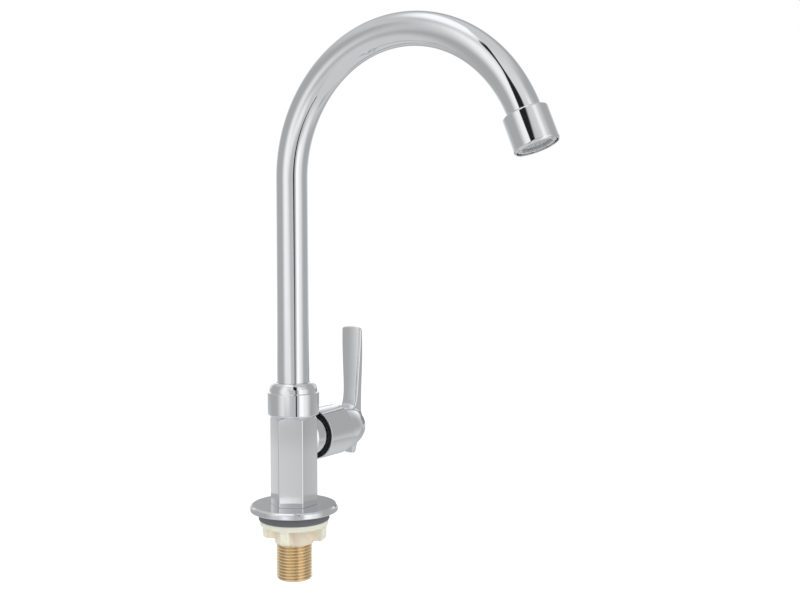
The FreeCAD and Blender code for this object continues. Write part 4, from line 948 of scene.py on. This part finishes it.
def only_mirrored(name, mesh, level, share=None):
    """Stand a mesh round the set so that only bright metal sees it, shining at a level.

    The level is a number or the name of an attribute. Where a share is named, the mesh is
    clear at 0 and whole at 1.
    """
    made = bpy.data.objects.new(name, mesh)
    bpy.context.scene.collection.objects.link(made)
    painted = bpy.data.materials.new(name)
    painted.use_nodes = True
    tree = painted.node_tree
    tree.nodes.clear()
    if isinstance(level, str):
        level = add(tree, "ShaderNodeAttribute", attribute_name=level).outputs["Fac"]
    shown = add(tree, "ShaderNodeEmission", {"Color": (0.99, 0.995, 1.0, 1), "Strength": level})
    if share:
        whole = add(tree, "ShaderNodeAttribute", attribute_name=share)
        clear = add(tree, "ShaderNodeBsdfTransparent")
        shown = add(tree, "ShaderNodeMixShader", {
            0: whole.outputs["Fac"], 1: clear.outputs[0], 2: shown.outputs[0]})
    add(tree, "ShaderNodeOutputMaterial", {"Surface": shown.outputs[0]})
    mesh.materials.append(painted)
    made.visible_camera = False
    made.visible_diffuse = False
    made.visible_shadow = False
    made.visible_transmission = False


def sheet(name, grid):
    """An open mesh over a grid of points in metres."""
    rows, columns = grid.shape[:2]
    i, j = np.arange(rows - 1)[:, None] * columns, np.arange(columns - 1)[None, :]
    faces = np.stack([i + j, i + j + 1, i + j + columns + 1, i + j + columns], -1).reshape(-1, 4)
    mesh = bpy.data.meshes.new(name)
    mesh.from_pydata(grid.reshape(-1, 3), [], faces.tolist())
    return mesh


def smooth(t):
    """0 below 0, 1 above 1, and 3 t^2 - 2 t^3 between."""
    t = np.clip(t, 0, 1)
    return t * t * (3 - 2 * t)


def paint(mesh, name, values):
    """Write one number per point of a mesh."""
    layer = mesh.attributes.new(name, "FLOAT", "POINT")
    layer.data.foreach_set("value", np.ascontiguousarray(values, np.float32).ravel())


# Each lit or shaded area of the studio, which only bright metal sees: turn from the camera's
# side and height of its middle, half its size both ways, how soft its edges are both ways,
# all in degrees, and its level. A later area lies over the earlier ones.
areas = [
    ("floor", 0, -90, 181, 60, 1, 16, 0.70),
    ("ceiling", 0, 90, 181, 35, 1, 12, 0.70),
    ("left ceiling lamp", -98, 90, 75, 30, 14, 12, 1.20),
    ("left wall's top", -115, 45, 50, 12, 25, 10, 0.66),
    ("lamp behind", 176, 10, 38, 17, 20, 10, 1.16),
    ("left lamp", -46, 18, 20, 32, 16, 14, 1.08),
    ("left lamp's foot", -20, -16, 14, 14, 10, 9, 1.03),
    ("front wall's top", 10, 45, 40, 18, 20, 14, 0.82),
    ("front wall", -2, -2, 16, 14, 8, 12, 0.60),
    ("front wall's foot", 22, -20, 14, 14, 8, 8, 0.58),
    ("right lamp's spill", 52, -5, 18, 40, 16, 14, 1.00),
    ("right lamp", 36, 8, 10, 30, 6, 12, 1.22),
]
turns = np.linspace(-180, 180, 241)[None, :]
heights = np.linspace(-90, 90, 121)[:, None]
studio_grey = 0.47
studio_radius = 4.0
studio_middle = [0, 0, 0.12]
level = np.full((heights.size, turns.size), studio_grey)
for _, turn, height, half_turn, half_height, soft_turn, soft_height, shine in areas:
    off_turn = np.abs((turns - turn + 180) % 360 - 180)
    inside = smooth((half_turn + soft_turn - off_turn) / (2 * soft_turn))
    off_height = np.abs(heights - height)
    inside = inside * smooth((half_height + soft_height - off_height) / (2 * soft_height))
    level = level + inside * (shine - level)
a, e = np.radians(turns + view_turn), np.radians(heights)
dome = sheet("studio", studio_radius * np.stack(np.broadcast_arrays(
    np.cos(e) * np.cos(a), np.cos(e) * np.sin(a), np.sin(e)), -1) + studio_middle)
paint(dome, "level", level)
only_mirrored("studio", dome, "level")

# A dark stand in front of the faucet: a thin post that widens, a broad bar across it, a neck
# and a broad head that ends in a point. It leans to the left towards its top.
stand_x, stand_y = -0.148, -0.184
v = np.linspace(0, 1, 90)[:, None]
u = np.linspace(-1, 1, 17)[None, :]
stand_z = -0.03 + 0.71 * v
half_width = 0.5 * (0.028 + 0.142 * np.clip(stand_z - 0.106, -0.014, 0.17))
half_width = half_width + 0.042 * np.exp(-((stand_z - 0.295) / 0.038) ** 2)
half_width = half_width + 0.022 * np.exp(-((stand_z - 0.54) / 0.09) ** 2)
half_width = half_width - 0.010 * smooth((stand_z - 0.33) / 0.05)
lean = 0.026 * np.clip((stand_z - 0.106) / 0.414, 0, 1)
stand = sheet("dark_stand", np.stack(np.broadcast_arrays(
    stand_x + 0.779 * half_width * u - 0.558 * lean,
    stand_y - 0.627 * half_width * u + 0.830 * lean, stand_z + 0 * u), -1))
paint(stand, "share", smooth((1 - np.abs(u)) / 0.3) * smooth((1 - v) / 0.2))
only_mirrored("dark_stand", stand, 0.02, "share")

# A low grey card behind the faucet, darker to the right, which the flange's flat top sees.
card_x, card_y, card_foot, card_top, card_half = 0.124, 0.083, 0.032, 0.09, 0.15
card_u = np.linspace(-1, 1, 33)[None, :]
card_z = np.linspace(card_foot, card_top, 30)[:, None]
card = sheet("low_card", np.stack(np.broadcast_arrays(
    card_x + 0.558 * card_half * card_u, card_y - 0.830 * card_half * card_u,
    card_z + 0 * card_u), -1))
paint(card, "share", smooth((1 - np.abs(card_u)) / 0.3) * smooth((card_top - card_z) / 0.026)
      * smooth((card_z - card_foot) / 0.008))
paint(card, "level", 0.40 - 0.20 * card_u + 0 * card_z)
only_mirrored("low_card", card, "level", "share")

# A low wall round the rest of the faucet, in three pieces, which the body's flats see.
wall_distance, wall_top = 0.22, 0.05
for name, turn_from, turn_to, shine, change in (
        ("left_low_wall", -172, -112, 0.70, -0.10), ("front_low_wall", -44, 4, 0.66, -0.06),
        ("right_low_wall", 78, 132, 0.56, 0.12)):
    wall_turn = np.radians(view_turn + np.linspace(turn_from, turn_to, 33))[None, :]
    wall_z = np.linspace(-0.035, wall_top, 12)[:, None]
    wall = sheet(name, np.stack(np.broadcast_arrays(
        wall_distance * np.cos(wall_turn), wall_distance * np.sin(wall_turn), wall_z), -1))
    paint(wall, "share",
          smooth((1 - np.abs(card_u)) / 0.25) * smooth((wall_top - wall_z) / 0.035))
    paint(wall, "level", shine + 0.05 + change * card_u - 0.1 * smooth((wall_z + 0.005) / 0.02))
    only_mirrored(name, wall, "level", "share")

camera = bpy.data.cameras.new("camera")
camera.lens = 54.0
camera.sensor_width = 36.0
camera.sensor_fit = "HORIZONTAL"
camera.clip_start = 0.05
camera.clip_end = 50.0
eye = bpy.data.objects.new("camera", camera)
bpy.context.scene.collection.objects.link(eye)
bpy.context.scene.camera = eye
ahead = Vector((0.8277, 0.5564, -0.0740)).normalized()
side = Vector((0.5580, -0.8299, 0.0)).normalized()
side = (side - ahead * side.dot(ahead)).normalized()
above = side.cross(ahead)
turned_to = Matrix((side, above, -ahead)).transposed().to_4x4()
eye.matrix_world = Matrix.Translation(eye_place) @ turned_to

bpy.context.scene.view_settings.view_transform = "Standard"
